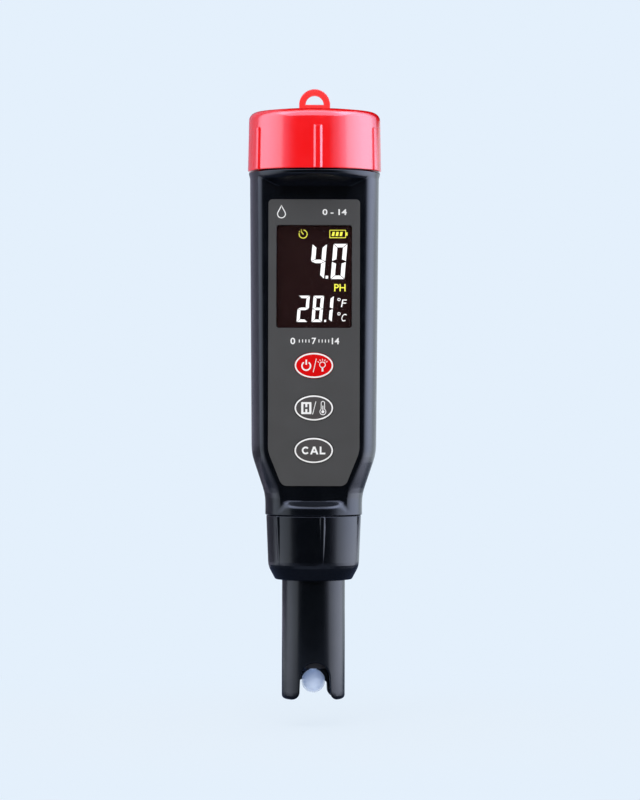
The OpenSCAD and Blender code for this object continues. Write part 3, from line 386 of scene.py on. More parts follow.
def skin(rings, loop=False):
    """Points and faces of a surface through rings of points. A ring of one point is a pole."""
    starts = [0]
    for ring in rings:
        starts.append(starts[-1] + len(ring))
    faces = []
    for i in range(len(rings) if loop else len(rings) - 1):
        j = (i + 1) % len(rings)
        count = max(len(rings[i]), len(rings[j]))
        for k in range(count):
            corners = [
                starts[i] + k % len(rings[i]),
                starts[i] + (k + 1) % count % len(rings[i]),
                starts[j] + (k + 1) % count % len(rings[j]),
                starts[j] + k % len(rings[j]),
            ]
            faces.append(tuple(dict.fromkeys(corners)))
    return [point for ring in rings for point in ring], faces


def turned(profile, sides):
    """A profile of (r, z) points turned round the axis. A point on the axis is a pole."""
    angles = even_angles(sides)
    return skin([[(0.0, 0.0, z)] if r < ON_AXIS else around(r, z, angles) for r, z in profile])


def plate(layers):
    """A solid that faces -Y. Each layer is (y, outlines): the outer outline, then its holes."""
    points = []
    faces = []
    sizes = [len(outline) for outline in layers[0][1]]
    total = sum(sizes)
    for y, outlines in layers:
        for outline in outlines:
            points.extend((x, y, z) for x, z in outline)
    for i in range(len(layers) - 1):
        first = 0
        for size in sizes:
            for k in range(size):
                a = i * total + first + k
                b = i * total + first + (k + 1) % size
                faces.append((a, b, b + total, a + total))
            first += size
    for i in (0, len(layers) - 1):
        flat = [[(x, z, 0.0) for x, z in outline] for outline in layers[i][1]]
        faces.extend(tuple(i * total + k for k in corners) for corners in tessellate_polygon(flat))
    return points, faces


def slices(front, back, shapes):
    """Flat solids between two depths, one for each shape's outlines."""
    return [plate([(front, outlines), (back, outlines)]) for outlines in shapes]


def joined(parts):
    """Several (points, faces) parts as one."""
    points = []
    faces = []
    for part_points, part_faces in parts:
        base = len(points)
        points.extend(part_points)
        faces.extend(tuple(base + k for k in face) for face in part_faces)
    return points, faces


def object_of(name, part):
    """An object with the mesh of a (points, faces) part."""
    points, faces = part
    shape = bmesh.new()
    corners = [shape.verts.new(Vector(point) * MM) for point in points]
    for face in faces:
        shape.faces.new([corners[k] for k in face])
    bmesh.ops.recalc_face_normals(shape, faces=shape.faces)
    mesh = bpy.data.meshes.new(name)
    shape.to_mesh(mesh)
    shape.free()
    return linked(name, mesh)


def linked(name, data):
    """A new object of the scene."""
    obj = bpy.data.objects.new(name, data)
    bpy.context.scene.collection.objects.link(obj)
    return obj


def evaluated(obj):
    """A new mesh of obj as its modifiers or its text make it."""
    graph = bpy.context.evaluated_depsgraph_get()
    return bpy.data.meshes.new_from_object(obj.evaluated_get(graph))


def cut(obj, cutter):
    """Take the cutter's solid out of obj, and drop the cutter."""
    tool = obj.modifiers.new("cut", "BOOLEAN")
    tool.operation = "DIFFERENCE"
    tool.solver = "EXACT"
    tool.object = cutter
    old = obj.data
    obj.data = evaluated(obj)
    obj.modifiers.clear()
    bpy.data.meshes.remove(old)
    bpy.data.objects.remove(cutter)


def dress(obj, body, look, replaces=()):
    """Shade a piece, give it its look, and hang it on its body."""
    obj.data.shade_smooth()
    obj.data.set_sharp_from_angle(angle=radians(SHARP))
    weighted = obj.modifiers.new("normals", "WEIGHTED_NORMAL")
    weighted.keep_sharp = True
    obj.data.materials.clear()
    obj.data.materials.append(LOOKS[look])
    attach(obj, body)
    if replaces:
        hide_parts(*replaces)


def piece(name, part, body, look, replaces=()):
    dress(object_of(name, part), body, look, replaces)


# Materials

PATCH_DETAIL = 4
GRAIN_DETAIL = 2
LOOKS = {}


def feed(tree, node, inputs):
    """Set a node's inputs to values, or link them to other nodes' outputs."""
    for socket, value in inputs.items():
        if isinstance(value, bpy.types.NodeSocket):
            tree.links.new(value, node.inputs[socket])
        else:
            node.inputs[socket].default_value = value


def add_node(tree, kind, inputs=None, **settings):
    """Add a shader node with its settings and inputs, and give its outputs."""
    node = tree.nodes.new("ShaderNode" + kind)
    for name, value in settings.items():
        setattr(node, name, value)
    feed(tree, node, inputs or {})
    return node.outputs


def new_material(name):
    """A material, its node tree and its shader."""
    material = bpy.data.materials.new(name)
    material.use_nodes = True
    return material, material.node_tree, material.node_tree.nodes["Principled BSDF"]


def noise(tree, size, detail, stretch):
    """Noise whose features measure about size millimetres, stretched along each axis."""
    place = add_node(tree, "TexCoord")
    scale = add_node(tree, "Mapping", {"Vector": place["Object"], "Scale": [1 / part for part in stretch]})
    return add_node(tree, "TexNoise", {
        "Vector": scale["Vector"], "Scale": 1 / (size * MM), "Detail": detail})["Fac"]


def surface(name, tone, other, rough, patch=6.0, grain=0.3, lift=0.004, stretch=(1, 1, 1), **plain):
    """Make a look: two tones and a range of roughness that drift over patches, and a fine grain with its
    lift. Sizes are in millimetres. Plain values go on the shader."""
    material, tree, shader = new_material(name)
    drift = noise(tree, patch, PATCH_DETAIL, stretch)
    colour = add_node(tree, "Mix", {"A": (*tone, 1), "B": (*other, 1), "Factor": drift}, data_type="RGBA")
    gloss = add_node(tree, "MapRange", {
        "Value": drift, "From Min": 0.3, "From Max": 0.7, "To Min": rough[0], "To Max": rough[1]})
    fine = noise(tree, grain, GRAIN_DETAIL, stretch)
    bump = add_node(tree, "Bump", {"Height": fine, "Distance": lift * MM})
    feed(tree, shader, {
        "Base Color": colour["Result"], "Roughness": gloss["Result"], "Normal": bump["Normal"]})
    feed(tree, shader, {socket.replace("_", " "): value for socket, value in plain.items()})
    LOOKS[name] = material


surface("black_barrel", (0.001, 0.0018, 0.0034), (0.0016, 0.0026, 0.0046), (0.2, 0.26))
surface("black_satin", (0.0012, 0.0022, 0.0036), (0.0018, 0.003, 0.0048), (0.19, 0.25), lift=0.005)
surface("red_cap", (0.95, 0.002, 0.004), (0.99, 0.003, 0.008), (0.13, 0.17), IOR=2.0)
surface("red_loop", (0.9, 0.042, 0.042), (0.95, 0.052, 0.05), (0.16, 0.22), IOR=1.6)
surface(
    "panel_film", (0.0555, 0.055, 0.0535), (0.062, 0.0615, 0.06), (0.5, 0.6), grain=0.15, lift=0.006,
    Specular_IOR_Level=0.25)
surface("window_lens", (0.006, 0.006, 0.007), (0.01, 0.01, 0.011), (0.04, 0.08), lift=0.0, Alpha=0.06)
surface(
    "display_dark", (0.0208, 0.0078, 0.0076), (0.0222, 0.0086, 0.0084), (0.45, 0.55), lift=0.001,
    Specular_IOR_Level=0.02)
surface(
    "lit_white", (0.8, 0.8, 0.8), (0.86, 0.86, 0.86), (0.4, 0.5), Emission_Color=(1, 1, 1, 1),
    Emission_Strength=0.62)
surface(
    "lit_yellow", (0.8, 0.78, 0.05), (0.86, 0.84, 0.07), (0.4, 0.5), Emission_Color=(1, 0.96, 0.08, 1),
    Emission_Strength=0.5)
surface("print_white", (0.8, 0.8, 0.8), (0.88, 0.88, 0.88), (0.45, 0.6), grain=0.1)
surface(
    "key_red", (0.64, 0.001, 0.002), (0.68, 0.001, 0.002), (0.4, 0.5), grain=0.15, Specular_IOR_Level=0.05)
surface(
    "key_grey", (0.06, 0.054, 0.052), (0.066, 0.06, 0.058), (0.46, 0.56), grain=0.15,
    Specular_IOR_Level=0.25)
surface("seal_rubber", (0.012, 0.014, 0.02), (0.022, 0.024, 0.032), (0.55, 0.7), lift=0.01)
# The bulb's glass has a faint blue glow of its own. This is painted light: the bulb is no lamp, and the glow
# stands in for the bright surroundings it would gather.
surface(
    "bulb_glass", (0.78, 0.87, 1.0), (0.82, 0.9, 1.0), (0.03, 0.08), lift=0.001, Alpha=0.45, IOR=1.5,
    Emission_Color=(0.5, 0.66, 1.0, 1), Emission_Strength=0.22)
surface("electrolyte", (0.62, 0.74, 0.98), (0.68, 0.78, 1.0), (0.15, 0.25), lift=0.002, Alpha=0.45)
surface("sensor_sheath", (0.05, 0.06, 0.08), (0.07, 0.08, 0.1), (0.3, 0.4), Metallic=1.0)
surface("silver_wire", (0.7, 0.7, 0.7), (0.8, 0.8, 0.79), (0.22, 0.38), Metallic=1.0)
surface("plated_steel", (0.58, 0.59, 0.6), (0.7, 0.71, 0.72), (0.2, 0.36), stretch=(1, 1, 6), Metallic=1.0)
surface("gold_contact", (0.78, 0.58, 0.22), (0.86, 0.66, 0.3), (0.2, 0.34), Metallic=1.0)
surface("white_plastic", (0.76, 0.76, 0.72), (0.82, 0.82, 0.79), (0.38, 0.5))
surface("zebra_rubber", (0.6, 0.28, 0.36), (0.78, 0.44, 0.52), (0.6, 0.7), patch=0.5, stretch=(0.3, 3, 3))
surface("circuit_board", (0.01, 0.1, 0.04), (0.025, 0.2, 0.08), (0.3, 0.45), patch=1.6)
surface("chip_black", (0.018, 0.018, 0.018), (0.032, 0.032, 0.033), (0.5, 0.65), patch=1.0)
surface("ceramic", (0.66, 0.56, 0.38), (0.8, 0.72, 0.56), (0.5, 0.65), patch=0.8)
surface("cell_jacket", (0.3, 0.32, 0.1), (0.46, 0.46, 0.16), (0.25, 0.35), patch=14, Metallic=0.6)
surface("lead_wire", (0.26, 0.04, 0.04), (0.36, 0.06, 0.05), (0.4, 0.55), patch=2)
surface("plunger_tan", (0.56, 0.46, 0.24), (0.68, 0.58, 0.34), (0.4, 0.5), patch=1.5)

# Looks of CAD nodes that aren't named after their slots
NODE_LOOKS = {
    "battery_tray": "black_satin", "lcd_glass": "display_dark", "temperature_sensor": "sensor_sheath",
    "silver_wire": "silver_wire", "reference_wire": "silver_wire"}


def dress_cad():
    """Give each CAD node that stays in view its look."""
    for row in frame["record"]["subparts"]:
        obj = frame["nodes"][row["node"]]
        if not obj.hide_render:
            obj.data.materials.clear()
            obj.data.materials.append(LOOKS[NODE_LOOKS.get(row["node"], row["material_slot"])])


# Barrel

def slope_tree():
    """Search tree of the top slope's solid, from its straight edge on the flat front to its round rim."""
    shape = bmesh.new()
    for angle in even_angles(SLOPE_POINTS):
        c, s = cos(angle), sin(angle)
        for side in (-0.5, 0.5):
            shape.verts.new((side * SLOPE_W + SLOPE_CORNER * c, SLOPE_CORNER * (1 + s) - FLAT, Z_FLAT_TOP))
        for z in (Z_SLOPE, Z_SLOPE + CUT_PAST):
            shape.verts.new((SLOPE_R * c, SLOPE_R * s, z))
    bmesh.ops.convex_hull(shape, input=shape.verts)
    tree = BVHTree.FromBMesh(shape)
    shape.free()
    return tree


SLOPE = slope_tree()


def crest_share(x, z):
    """How far down the crest (x, z) is: 0 at its edge, which bends down at both ends, and 1 at the neck."""
    side = max(0.0, abs(x) - CREST_STRAIGHT)
    return clamp((Z_FLAT_LOW - CREST_BEND * side * side - z) / CREST_H, -1.0)


def front_limit(x, z):
    """How far the barrel's front reaches at (x, z) and how round its edge is, or None where it isn't cut."""
    if not Z_SEAM < z < Z_SLOPE:
        return None
    reach = FLAT
    hit = SLOPE.ray_cast(Vector((x, Y_AHEAD, z)), Vector((0, 1, 0)))[0]
    if hit is not None:
        reach = soft_max(reach, -hit.y, CREASE)
    share = crest_share(x, z)
    sharp = 1 - ease(share)
    neck = sqrt(max(FLAT * FLAT, NECK_R * NECK_R - x * x))
    crest = FLAT + (neck - FLAT) * (1 - (1 - share) ** 2)
    return soft_max(reach, crest, CREASE * sharp + SLIP), FLAT_EDGE * sharp + SLIP


def corner_angles(r, front=26, back=40):
    """Angles for a ring of the barrel, closest together where the flat front meets the round."""
    corner = clamp(acos(clamp(FLAT / r)), CORNER_LEAST, CORNER_MOST)
    half = [corner * (1 - (1 - k / front) ** CROWDING) for k in range(front)]
    half += [corner + (pi - corner) * (k / back) ** CROWDING for k in range(back + 1)]
    return half + [TURN - angle for angle in reversed(half[1:-1])]


def barrel_rings(profile, limit=None):
    """A round ring for each (r, z) of a profile, cut back in front where limit(x, z) says so."""
    rings = []
    for r, z in profile:
        ring = []
        for x, y, _ in around(r, z, corner_angles(r)):
            cut_back = limit(x, z) if limit and y < 0 else None
            ring.append((x, -soft_min(-y, *cut_back) if cut_back else y, z))
        rings.append(ring)
    return rings


def barrel_step(z):
    """Spacing of the barrel's rings: close at the crest and the top slope."""
    return next((step for top, step in RING_STEPS if z < top), PLAIN_STEP)


def barrel_shell():
    """The barrel as one skin, up its outside and down its inside."""
    outer = rounded([
        (SPIGOT_R - LEAD_IN, Z_SPIGOT, 0), (SPIGOT_R, Z_SPIGOT + LEAD_IN, 0), (SPIGOT_R, Z_SEAM, 0),
        (NECK_R, Z_SEAM, EDGE), (NECK_R, Z_NECK, NECK_BLEND), (BARREL_LOW_R, Z_BARREL, FLARE_BLEND),
        (BARREL_R, Z_SHOULDER - LIP_H, LIP_BLEND), (LIP_R, Z_SHOULDER, EDGE), (MOUTH_R, Z_SHOULDER, 0),
        (MOUTH_R, RING_Z - RING_HALF, 0), (RING_SEAT_R, RING_Z - RING_HALF, 0),
        (RING_SEAT_R, RING_Z + RING_HALF, 0), (MOUTH_R, RING_Z + RING_HALF, 0),
        (MOUTH_R, Z_MOUTH - LEAD_IN, 0), (MOUTH_R - LEAD_IN, Z_MOUTH, 0)], closed=False)
    mouth = [
        (TRAY_SEAT_R, Z_MOUTH), (TRAY_SEAT_R, Z_TRAY_SEAT), (MOUTH_BORE_R, Z_TRAY_SEAT),
        (MOUTH_BORE_R, Z_HOLLOW_TOP)]
    hollow = [
        (BARREL_R - WALL, Z_HOLLOW_TOP), (BARREL_LOW_R - WALL, Z_BARREL), (NECK_R - WALL, Z_NECK),
        (NECK_R - WALL, Z_SOCKET_TOP)]
    foot = [
        (SOCKET_SEAT_R, Z_SOCKET_TOP), (SOCKET_SEAT_R, Z_SOCKET), (LEDGE_R, Z_SOCKET), (LEDGE_R, Z_LEDGE),
        (SPIGOT_BORE_R, Z_LEDGE), (SPIGOT_BORE_R, Z_SPIGOT)]
    rings = barrel_rings(refined(outer, barrel_step), front_limit) + barrel_rings(mouth)
    rings += barrel_rings(hollow, lambda x, z: (HOLLOW_FLAT, FLAT_EDGE)) + barrel_rings(foot)
    return skin(rings, loop=True)


def panel_outline(inset):
    """The face panel's outline, drawn in from its edge by inset."""
    flare = NECK_R + (Z_PANEL - Z_NECK) * (BARREL_LOW_R - NECK_R) / (Z_BARREL - Z_NECK)
    low_half = sqrt(flare * flare - FLAT * FLAT) - PANEL_MARGIN
    lean = atan2(PANEL_HALF - low_half, Z_PANEL_BEND - Z_PANEL)
    side = PANEL_HALF - inset
    foot = low_half + inset * tan(lean) - inset / cos(lean)
    bend = Z_PANEL + (side - low_half + inset / cos(lean)) / tan(lean)
    top = Z_PANEL_TOP - inset
    base = Z_PANEL + inset
    top_r = max(PANEL_TOP_R - inset, SLIP)
    foot_r = max(PANEL_FOOT_R - inset, SLIP)
    return rounded([
        (side, top, top_r), (-side, top, top_r), (-side, bend, PANEL_BEND_R), (-foot, base, foot_r),
        (foot, base, foot_r), (side, bend, PANEL_BEND_R)])


def thread(wall_r, side, z, pitch, turns, steps=60, fade_steps=7):
    """A thread's ridge on a round wall, outside it for side 1 and inside it for side -1."""
    count = round(steps * turns)
    base = wall_r - side * THREAD_ROOT
    rings = []
    for k in range(count + 1):
        angle = TURN * k / steps
        fade = min(1, k / fade_steps, (count - k) / fade_steps)
        crest = wall_r + side * ((THREAD_DEPTH + THREAD_ROOT / 2) * fade - THREAD_ROOT / 2)
        section = rounded([
            (base, THREAD_ROOT_W / 2, 0), (crest, THREAD_CREST_W / 2, THREAD_EDGE),
            (crest, -THREAD_CREST_W / 2, THREAD_EDGE), (base, -THREAD_ROOT_W / 2, 0)])
        lift = z + pitch * k / steps
        rings.append([(r * cos(angle), r * sin(angle), lift + h) for r, h in section])
    points, faces = skin(rings)
    ends = len(rings[0])
    faces.append(tuple(range(ends)))
    faces.append(tuple(len(points) - ends + k for k in range(ends)))
    return points, faces


def make_barrel():
    shell = object_of("barrel_shell", barrel_shell())
    wide, narrow = [panel_outline(-SLIP)], [panel_outline(PANEL_LEDGE)]
    pocket = plate([
        (-FLAT - CUT_PAST, wide), (Y_PANEL_BACK, wide), (Y_PANEL_BACK, narrow),
        (CUT_PAST - HOLLOW_FLAT, narrow)])
    cut(shell, object_of("panel_pocket", pocket))
    dress(shell, "barrel", "black_barrel", ["housing"])
    threads = joined([
        thread(MOUTH_R, 1, CAP_THREAD_Z, CAP_PITCH, CAP_TURNS),
        thread(SPIGOT_R, 1, COLLAR_THREAD_Z, COLLAR_PITCH, COLLAR_TURNS)])
    piece("barrel_threads", threads, "barrel", "black_barrel")


# Cap

def rib_angles(count, turn, radius, offsets, between=14):
    """Angles for a ribbed ring: at offsets to both sides of each rib's middle, and even between the ribs."""
    pitch = TURN / count
    half = [offset / radius for offset in offsets]
    spread = [-offset for offset in reversed(half)] + [0.0] + half
    gap = pitch - 2 * half[-1]
    angles = []
    for i in range(count):
        middle = turn + pitch * i
        angles += [middle + offset for offset in spread]
        angles += [middle + half[-1] + gap * k / between for k in range(1, between)]
    return angles


def rib_distance(angle, count, turn, radius):
    """Distance along the round from an angle to the nearest rib's middle."""
    pitch = TURN / count
    return abs((angle - turn + pitch / 2) % pitch - pitch / 2) * radius


def cap_rib(angle, z):
    """Height of the cap's grip ribs."""
    distance = rib_distance(angle, CAP_RIBS, CAP_RIB_TURN, CAP_R)
    flank = (CAP_RIB_W - CAP_RIB_CREST_W) / 2
    across = ease((CAP_RIB_W / 2 - distance) / flank)
    top = ease((Z_CAP + CAP_RIB_H - z) / CAP_RIB_RAMP)
    return CAP_RIB_PROUD * across * top


def cap_step(z):
    """Spacing of the cap's rings: close at the ribs' tops."""
    below = CAP_FINE_LOW - z
    if below > 0:
        return clamp(below, CAP_FINE_STEP, CAP_STEP)
    return CAP_FINE_STEP if below > -CAP_FINE_H else CAP_STEP


def cap_shell():
    """The cap as one skin from its top to the blind hole of the swivel screw."""
    side = refined(rounded([
        (CAP_BORE_R, Z_CAP, 0), (CAP_R, Z_CAP, EDGE), (CAP_TOP_R, Z_TOP, CAP_EDGE), (PIVOT_R, Z_TOP, 0)],
        closed=False)[1:-1], cap_step)
    rim = side[-1][0]
    for k in range(CAP_DOME_RINGS - 1, 0, -1):
        share = k / CAP_DOME_RINGS
        side.append((rim * share, Z_TOP + CAP_DOME * (1 - share ** 2)))
    angles = rib_angles(CAP_RIBS, CAP_RIB_TURN, CAP_R, CAP_RIB_OFFSETS)
    inner = [
        (CAP_BORE_R + EDGE, Z_CAP), (CAP_BORE_R, Z_CAP + EDGE), (CAP_BORE_R, Z_CEILING), (PIVOT_R, Z_CEILING),
        (PIVOT_R, Z_PIVOT), (PIVOT_SCREW_R, Z_PIVOT), (PIVOT_SCREW_R, Z_PIVOT_END)]
    rings = [[(0.0, 0.0, Z_TOP + CAP_DOME)]]
    rings += [[at(r + cap_rib(a, z), a, z) for a in angles] for r, z in reversed(side)]
    rings += [around(r, z, angles) for r, z in inner]
    rings.append([(0.0, 0.0, Z_PIVOT_END)])
    return skin(rings)


def loop_outlines(inset):
    """The lanyard loop: a half-round arch on a foot that is let into the cap, and its eye."""
    z_eye = Z_LOOP - LOOP_R
    outer = LOOP_R - inset
    inner = LOOP_R - LOOP_BAR + inset
    foot = Z_TOP - LOOP_FOOT
    arch = arc(0, z_eye, outer, 0, 180, LOOP_STEPS) + [(-outer, foot), (outer, foot)]
    eye = arc(0, z_eye - inset, inner, 0, 180, LOOP_STEPS)
    return [arch, eye]


def make_cap():
    piece("cap_shell", cap_shell(), "cap", "red_cap", ["battery_cap"])
    ridge = thread(CAP_BORE_R, -1, CAP_THREAD_Z + CAP_PITCH / 2, CAP_PITCH, CAP_TURNS)
    piece("cap_thread", ridge, "cap", "red_cap")
    edge = [(LOOP_T / 2 - EDGE * (1 - sin(a)), EDGE * (1 - cos(a))) for a in quarter(6)]
    layers = [(-y, loop_outlines(inset)) for y, inset in reversed(edge)]
    layers += [(y, loop_outlines(inset)) for y, inset in edge]
    piece("eye_loop", plate(layers), "cap", "red_loop", ["lanyard_loop"])


# Collar nut

def collar_rib(angle, z):
    """Height of the collar nut's ribs, which fade out downwards."""
    distance = rib_distance(angle, COLLAR_RIBS, COLLAR_RIB_TURN, COLLAR_R)
    if distance >= COLLAR_RIB_REACH:
        return 0.0
    proud = COLLAR_RIB_PROUD * (1 - (Z_COLLAR_TOP - z) / COLLAR_RIB_LEN)
    bulge = sqrt(max(0.0, COLLAR_RIB_R ** 2 - distance ** 2)) - COLLAR_RIB_R + proud
    return max(0.0, soft_max(bulge, 0.0, COLLAR_RIB_BLEND) - COLLAR_RIB_BLEND / 4)


def make_collar():
    """The nut as one skin, with ribs on its outside and none on its top's inner rim."""
    side = rounded([
        (COLLAR_HOLE_R, Z_COLLAR, 0), (COLLAR_FOOT_R, Z_COLLAR, COLLAR_FOOT_EDGE),
        (COLLAR_LOW_R, Z_COLLAR + COLLAR_CHAMFER, COLLAR_EDGE), (COLLAR_R, Z_COLLAR_TOP, EDGE),
        (COLLAR_BORE_R, Z_COLLAR_TOP, 0)], closed=False)
    angles = rib_angles(COLLAR_RIBS, COLLAR_RIB_TURN, COLLAR_R, COLLAR_RIB_OFFSETS)
    rings = []
    for r, z in refined(side, lambda z: COLLAR_STEP):
        ribbed = r > COLLAR_R - COLLAR_RIM_W or z < Z_COLLAR_TOP - COLLAR_RIM_H
        rings.append([at(r + collar_rib(a, z) if ribbed else r, a, z) for a in angles])
    rings += [around(r, Z_FLANGE, angles) for r in (COLLAR_BORE_R, COLLAR_HOLE_R)]
    piece("collar_shell", skin(rings, loop=True), "collar", "black_barrel", ["collar_nut"])
    ridge = thread(COLLAR_BORE_R, -1, COLLAR_THREAD_Z + COLLAR_PITCH / 2, COLLAR_PITCH, COLLAR_TURNS)
    piece("collar_thread", ridge, "collar", "black_barrel")


# Electrode

def window_edge(height, round_h):
    """A quarter of the sleeve's lower edge, from a window's top to the middle of a tip, as (angle, z,
    straight, tip) points: how much the cut runs straight through, not to the axis, and how round it is."""
    spring = height - round_h
    half = ARCH_FOOT_HALF - (ARCH_FOOT_HALF - ARCH_HALF) * spring / (ARCH_H - ARCH_ROUND_H)
    edge = [(half * cos(a), spring + round_h * sin(a)) for a in reversed(quarter(ARCH_POINTS))]
    foot = rounded([
        (half, spring, 0), (ARCH_FOOT_HALF, 0, ARCH_FOOT_R), (SLEEVE_R, 0, 0)], closed=False)[1:-1]
    for k in range(1, ARCH_SIDE_POINTS):
        share = k / ARCH_SIDE_POINTS
        edge.append((half + (foot[0][0] - half) * share, spring + (foot[0][1] - spring) * share))
    points = [(asin(x / SLEEVE_R), z, 1.0, 0.0) for x, z in edge]
    points += [(asin(x / SLEEVE_R), z, 1.0, ease(k / (len(foot) - 1))) for k, (x, z) in enumerate(foot)]
    last = points[-1][0]
    for k in range(1, TIP_POINTS + 1):
        share = k / TIP_POINTS
        points.append((last + (pi / 2 - last) * share, 0.0, 1 - share, 1.0))
    return points


def edge_directions(points):
    """Unit steps away from the opening at each point of the lower edge, along the round and upwards."""
    flat = [Vector((SLEEVE_R * angle, z)) for angle, z, _, _ in points]
    steps = []
    for k in range(len(flat)):
        before = flat[k - 1] if k else Vector((-flat[1].x, flat[1].y))
        after = flat[k + 1] if k + 1 < len(flat) else Vector((2 * flat[k].x - flat[k - 1].x, flat[k].y))
        along = (after - before).normalized()
        steps.append(Vector((-along.y, along.x)))
    return steps


def sleeve_rows(height, round_h):
    """Rows of (radius, angle, z) for a quarter of the sleeve's tip: down its outside and up its inside."""
    edge = window_edge(height, round_h)
    away = edge_directions(edge)
    even = quarter(len(edge) - 1)
    wall = SLEEVE_R - SLEEVE_BORE_R
    outside = [SLEEVE_EDGE + (TIP_ROUND - SLEEVE_EDGE) * tip for _, _, _, tip in edge]
    inside = [min(SLEEVE_EDGE, wall - offset - SLIP) for offset in outside]

    def row(offsets, wall_r, back=1.0, grow=0.0, share=0.0):
        """The edge, drawn back and grown by parts of its offsets, a share of the way up to an even grid."""
        points = []
        for (angle, z, straight, _), step, offset, goal in zip(edge, away, offsets, even):
            radius = wall_r + offset * grow
            angle += step.x * offset * back / SLEEVE_R
            z += step.y * offset * back
            through = asin(clamp(SLEEVE_R * sin(angle) / radius, -1.0, 1.0))
            angle += (through - angle) * straight
            points.append((radius, angle + (goal - angle) * share, z + (SLEEVE_GRID_TOP - z) * share))
        return points

    turns = quarter(SLEEVE_EDGE_ROWS)
    rows = [row(outside, SLEEVE_R, share=1 - i / SLEEVE_ROWS) for i in range(SLEEVE_ROWS)]
    rows += [row(outside, SLEEVE_R, 1 - sin(a), cos(a) - 1) for a in turns]
    rows += [row(inside, SLEEVE_BORE_R, 1 - cos(a), 1 - sin(a)) for a in turns]
    rows += [row(inside, SLEEVE_BORE_R, share=i / SLEEVE_ROWS) for i in range(1, SLEEVE_ROWS + 1)]
    return rows


def full_round(front, back):
    """A ring of points from (radius, angle, z) rows of a front and a back quarter."""
    half = front + [(r, pi - a, z) for r, a, z in reversed(back[:-1])]
    whole = half + [(r, TURN - a, z) for r, a, z in reversed(half[1:-1])]
    return [at(r, a + ARCH_TURN, z) for r, a, z in whole]


def bulb_profile(wall):
    """The bulb, its neck and its stem, drawn in by wall, as a profile from the bulb's foot upwards."""
    radius = BULB_R - wall
    neck = GLASS_NECK_R - wall * GLASS_NECK_THIN
    stem = STEM_R - wall
    top = pi - asin(neck / radius) - GLASS_NECK_TURN
    angles = [top * k / BULB_POINTS for k in range(BULB_POINTS + 1)]
    ball = [(radius * sin(a), BULB_Z - radius * cos(a)) for a in angles]
    above = ball[-1][1] + GLASS_NECK_BLEND
    return ball + [(neck, above), (neck, Z_GLASS_NECK), (stem, Z_GLASS_NECK + STEM_CONE)]


def make_electrode():
    front = sleeve_rows(ARCH_H, ARCH_ROUND_H)
    back = sleeve_rows(BACK_ARCH_H, BACK_ARCH_ROUND_H)
    tip = [full_round(*rows) for rows in zip(front, back)]
    angles = [ARCH_TURN + angle for angle in even_angles(len(tip[0]))]
    upper = rounded([
        (SLEEVE_BORE_R, Z_GASKET, 0), (SPIGOT_R, Z_GASKET, EDGE), (SPIGOT_R, Z_FLANGE, EDGE),
        (SLEEVE_LAND_R, Z_FLANGE, 0), (SLEEVE_LAND_R, Z_LAND, SLEEVE_LAND_EDGE), (SLEEVE_R, Z_LAND, 0),
        (SLEEVE_R, SLEEVE_PLAIN_LOW, 0)], closed=False)
    sleeve = skin([around(r, z, angles) for r, z in upper] + tip, loop=True)
    piece("guard_sleeve", sleeve, "electrode", "black_satin", ["electrode_sleeve"])
    z_stem = high("glass_electrode").z
    outer = bulb_profile(0) + [(STEM_R, z_stem - STEM_EDGE), (STEM_R - STEM_EDGE, z_stem)]
    inner = bulb_profile(GLASS_WALL) + [(STEM_R - GLASS_WALL, z_stem)]
    glass = turned(outer + inner[::-1], BULB_SIDES)
    piece("glass_bulb", glass, "electrode", "bulb_glass", ["glass_electrode"])
    z_fill = high("bulb_fill").z
    fill = bulb_profile(GLASS_WALL + SLIP) + [(STEM_R - GLASS_WALL - SLIP, z_fill), (0, z_fill)]
    piece("bulb_liquid", turned(fill, BULB_SIDES), "electrode", "electrolyte", ["bulb_fill"])


# Face panel and keys

def window_outline(inset):
    """The display window's outline, drawn in from the opening's edge by inset."""
    x = WINDOW_HIGH.x + WINDOW_GROW - inset
    base = WINDOW_LOW.z - WINDOW_GROW + inset
    top = WINDOW_HIGH.z + WINDOW_GROW - inset
    return rounded_box(-x, x, base, top, max(WINDOW_R - inset, WINDOW_LEAST_R))


def key_middle(name):
    return (low(name + "_key").z + high(name + "_key").z) / 2


def key_outline(z, inset):
    return oval(KEY_W / 2 - inset, KEY_H / 2 - inset, 0, z)


def panel_outlines(inset):
    """The panel's outline and those of its openings, with the solid drawn in by inset at each."""
    holes = [key_outline(key_middle(name), -KEY_GAP - inset) for name in KEY_SLOTS]
    return [panel_outline(inset), window_outline(-inset)] + holes


def make_panel():
    layers = [(Y_PANEL + depth, panel_outlines(inset)) for depth, inset in PANEL_EDGE]
    layers.append((Y_PANEL_BACK, panel_outlines(0)))
    piece("panel_film", plate(layers), "barrel", "panel_film", ["face_panel"])
    rim = window_outline(LENS_GAP)
    lens = plate([
        (Y_PANEL + LENS_SUNK, [window_outline(LENS_GAP + LENS_EDGE)]),
        (Y_PANEL + LENS_SUNK + LENS_EDGE, [rim]), (Y_PANEL_BACK - LENS_GAP, [rim])])
    piece("window_lens", lens, "barrel", "window_lens", ["display_window"])
    border = [rim, window_outline(MASK_W)]
    mask = plate([(Y_PANEL_BACK - MASK_T, border), (Y_PANEL_BACK, border)])
    piece("window_mask", mask, "barrel", "display_dark")


